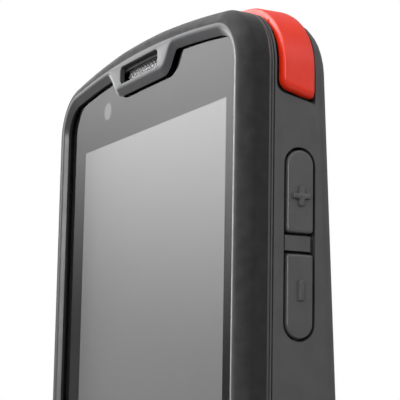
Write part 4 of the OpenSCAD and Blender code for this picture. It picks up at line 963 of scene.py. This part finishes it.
# %% Camera
LENS, SENSOR_W = 117.0, 36.0
CAMERA_AT = (205.32, -100.56, 88.95)
AZIMUTH, ELEVATION, ROLL = 63.179, -8.298, 1.012
camera_data = bpy.data.cameras.new("studio_camera")
camera_data.lens, camera_data.sensor_width = LENS, SENSOR_W
camera_data.clip_start, camera_data.clip_end = 0.01, 50.0
camera = bpy.data.objects.new("studio_camera", camera_data)
bpy.context.scene.collection.objects.link(camera)
azimuth, elevation, roll = np.radians([AZIMUTH, ELEVATION, ROLL])
level = np.cos(elevation)
back = Vector((np.sin(azimuth) * level, -np.cos(azimuth) * level, np.sin(elevation)))
right = Vector((np.cos(azimuth), np.sin(azimuth), 0.0))
up = back.cross(right)
turned_right = np.cos(roll) * right + np.sin(roll) * up
turned_up = -np.sin(roll) * right + np.cos(roll) * up
aim = Matrix((turned_right, turned_up, back)).transposed().to_4x4()
aim.translation = Vector(CAMERA_AT) * MM
camera.matrix_world = aim
bpy.context.scene.camera = camera
print("camera at", [round(c, 4) for c in camera.location])

# %% [markdown]
# ## Studio
# A pale floor, a white surround and soft light. The surround is a world whose brightness
# depends on direction. The boxes at the left and the left front are what the glass mirrors,
# the low strip at the right front lines the edges of the keys, and dim wide boxes at the
# right and behind keep those sides from going black. The lower half is darker. Camera rays
# see plain white.

# %% World
# Each box: direction in degrees, inner and outer angle of its soft edge, and strength
SOFT_BOXES = [
    ("left", (-54, 30), 12, 31, 3.7), ("side", (-100, 10), 12, 30, 7.0),
    ("front", (-25, 45), 10, 32, 6.0), ("right", (70, 45), 10, 50, 0.85),
    ("strip", (38, 10), 4, 16, 12.0), ("rear", (135, 30), 5, 35, 1.2),
]
FLOOR_GLOW, SKY_GLOW = 0.26, 0.45
scene = bpy.context.scene
scene.view_settings.view_transform = "Standard"
world = bpy.data.worlds.new("studio_surround")
world.use_nodes = True
scene.world = world
sky = world.node_tree
sky.nodes.clear()
direction = node(sky, "TexCoord").outputs["Generated"]


def toward(azimuth_deg, elevation_deg):
    """Unit vector at an azimuth from the front, to the right where positive, and a height."""
    a, e = np.radians([azimuth_deg, elevation_deg])
    return (float(np.sin(a) * np.cos(e)), float(-np.cos(a) * np.cos(e)), float(np.sin(e)))


def soft_box(centre, inner_deg, outer_deg, strength):
    """Strength inside inner_deg of a direction, fading smoothly to nothing at outer_deg."""
    cosine = node(sky, "VectorMath", {0: direction, 1: centre}, operation="DOT_PRODUCT").outputs["Value"]
    angle = node(sky, "Math", {0: cosine}, operation="ARCCOSINE").outputs[0]
    return node(sky, "MapRange", {"Value": angle, "From Min": np.radians(outer_deg),
                                  "From Max": np.radians(inner_deg), "To Min": 0.0, "To Max": strength},
                interpolation_type="SMOOTHSTEP").outputs["Result"]


upwards = node(sky, "SeparateXYZ", {"Vector": direction}).outputs["Z"]
light_sum = node(sky, "MapRange", {"Value": upwards, "From Min": -0.3, "From Max": 0.5,
                                   "To Min": FLOOR_GLOW, "To Max": SKY_GLOW}).outputs["Result"]
for _, aimed, inner_deg, outer_deg, strength in SOFT_BOXES:
    box = soft_box(toward(*aimed), inner_deg, outer_deg, strength)
    light_sum = node(sky, "Math", {0: light_sum, 1: box}, operation="ADD").outputs[0]
seen = node(sky, "LightPath").outputs["Is Camera Ray"]
lighting = node(sky, "Background", {"Color": (1, 1, 1, 1), "Strength": light_sum})
white = node(sky, "Background", {"Color": (1, 1, 1, 1), "Strength": 1.0})
choice = node(sky, "MixShader", {0: seen, 1: lighting.outputs[0], 2: white.outputs[0]})
node(sky, "OutputWorld", {"Surface": choice.outputs[0]})
print("soft boxes:", ", ".join(name for name, *_ in SOFT_BOXES))

# %% [markdown]
# The floor is pale paper. Far from the terminal it fades into a glow as white as the
# surround, so that no horizon shows. It throws back less light than it shows to the camera,
# which keeps the terminal's lower sides dark.

# %% Floor
FLOOR_HALF = 1500.0
FADE_FROM, FADE_TO = 250.0, 1100.0
corners = np.array([[-1, -1, 0], [1, -1, 0], [1, 1, 0], [-1, 1, 0]]) * FLOOR_HALF * MM
floor_mesh = bpy.data.meshes.new("studio_floor")
floor_mesh.from_pydata(corners.tolist(), [], [[0, 1, 2, 3]])
floor = bpy.data.objects.new("studio_floor", floor_mesh)
scene.collection.objects.link(floor)
paper, tree, coords = new_material("pale_paper_floor")
far = node(tree, "VectorMath", {0: coords}, operation="LENGTH").outputs["Value"]
fade = node(tree, "MapRange", {"Value": far, "From Min": FADE_FROM * MM, "From Max": FADE_TO * MM},
            interpolation_type="SMOOTHSTEP")
looked_at = node(tree, "LightPath").outputs["Is Camera Ray"]
pale = node(tree, "Mix", {0: looked_at, 6: linear("#9a9a9a"), 7: linear("#f2f2f2")}, data_type="RGBA")
matte = node(tree, "BsdfDiffuse", {"Color": pale.outputs[2]})
glow = node(tree, "Emission", {"Color": (1, 1, 1, 1), "Strength": looked_at})
mixed = node(tree, "MixShader", {0: fade.outputs["Result"], 1: matte.outputs[0], 2: glow.outputs[0]})
node(tree, "OutputMaterial", {"Surface": mixed.outputs[0]})
floor_mesh.materials.append(paper)
print("floor:", 2 * FLOOR_HALF, "mm square")
